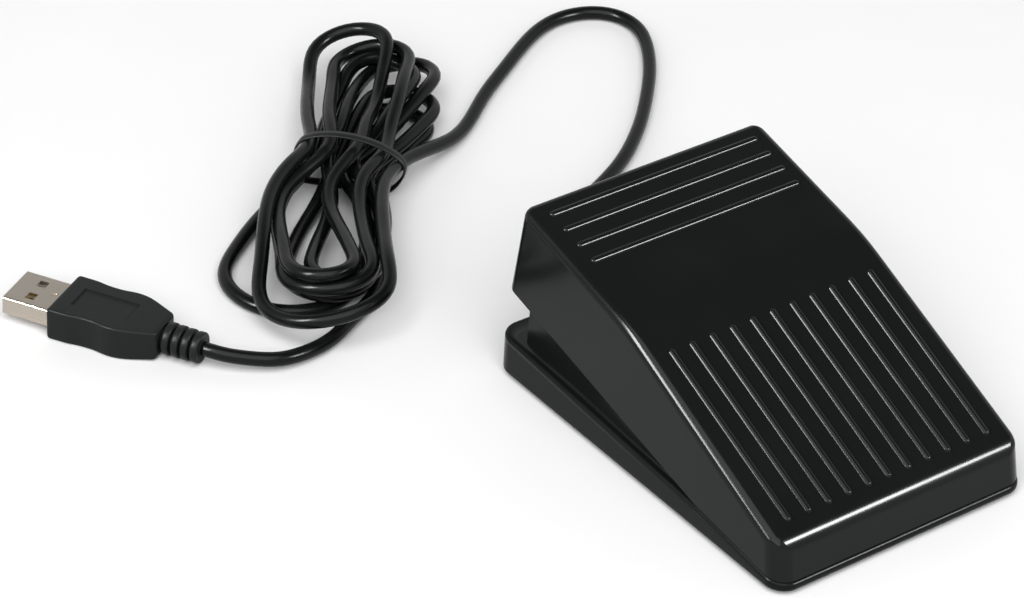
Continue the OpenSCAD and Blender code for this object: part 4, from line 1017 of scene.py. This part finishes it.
# The tube's section, with points at the windows' sides on its top and bottom.
sheet_wide, sheet_tall, sheet_fold, sheet_thick = 6, 2.25, 0.5, 0.3
window_in, window_out, window_from, window_to, shell_long = 1.4, 3.8, 5.3, 7.5, 12
section = []
for x, z, first in ((1, 1, 0), (-1, 1, 90), (-1, -1, 180), (1, -1, 270)):
    section += [(x * (sheet_wide - sheet_fold) + sheet_fold * math.cos(t),
                 z * (sheet_tall - sheet_fold) + sheet_fold * math.sin(t))
                for t in np.radians(np.linspace(first, first + 90, 7))]
    if x == z:
        section += [(x * across, z * sheet_tall)
                    for across in (window_out, window_in, -window_in, -window_out)]

# The tube in three lengths. The middle one has the windows, and the first leaves an oblong for the dimple.
from_grip = relief_long + grip_long
tube = bmesh.new()
rows = [[tube.verts.new(Vector((x, from_grip + y, z)) * MM) for x, z in section]
        for y in (0, window_from, window_to, shell_long)]
for i in range(3):
    for k in range(len(section)):
        ends = sorted(abs(section[j][0]) for j in (k - 1, k))
        flat = abs(section[k][1]) == abs(section[k - 1][1]) == sheet_tall
        window = i == 1 and flat and ends == [window_in, window_out]
        dimple = i == 0 and flat and ends == [window_in, window_in] and section[k][1] > 0
        if not window and not dimple:
            tube.faces.new((rows[i][k - 1], rows[i][k], rows[i + 1][k], rows[i + 1][k - 1]))

# The dimple is a round of 16 points, a quarter of them facing each side of the oblong.
dimple_at, dimple_radius, dimple_deep = 2, 0.8, 0.12
dimple_round = [(dimple_radius * math.cos(t), from_grip + dimple_at + dimple_radius * math.sin(t))
                for t in np.radians(np.arange(-45, 315, 22.5))]
pressed = [[tube.verts.new(Vector((x, y, z)) * MM) for x, y in dimple_round]
           for z in (sheet_tall, sheet_tall - dimple_deep)]
at = [k for k in range(len(section)) if section[k] in ((window_in, sheet_tall), (-window_in, sheet_tall))]
corners = [rows[0][at[0]], rows[1][at[0]], rows[1][at[1]], rows[0][at[1]]]
for q in range(4):
    rim = [pressed[0][(4 * q + j) % 16] for j in range(5)]
    tube.faces.new([corners[q], corners[(q + 1) % 4], *rim[::-1]])
for k in range(16):
    tube.faces.new((pressed[0][k - 1], pressed[0][k], pressed[1][k], pressed[1][k - 1]))
tube.faces.new(pressed[1])
bmesh.ops.recalc_face_normals(tube, faces=tube.faces)
shape = walled(tube, sheet_thick)
shape.transform(plug_place)
shell = settled(shape, "plug_metal_shell", nickel, "plug_shell", "base", sharp=25)

# Tongue plastic: greyed white, slightly glossy.
tongue_white = mottled("white_polyester", "c4c3bd", "b9b8b1", 0.5, 0.35, 0.004)
# Gilded contacts: warm bright metal.
gilt = mottled("gilded_brass", "d9b65c", "c49c45", 0.3, 0.22, 0.002, Metallic=1.0)
nodes["plug_tongue"].material_slots[0].material = tongue_white
nodes["plug_contacts"].material_slots[0].material = gilt
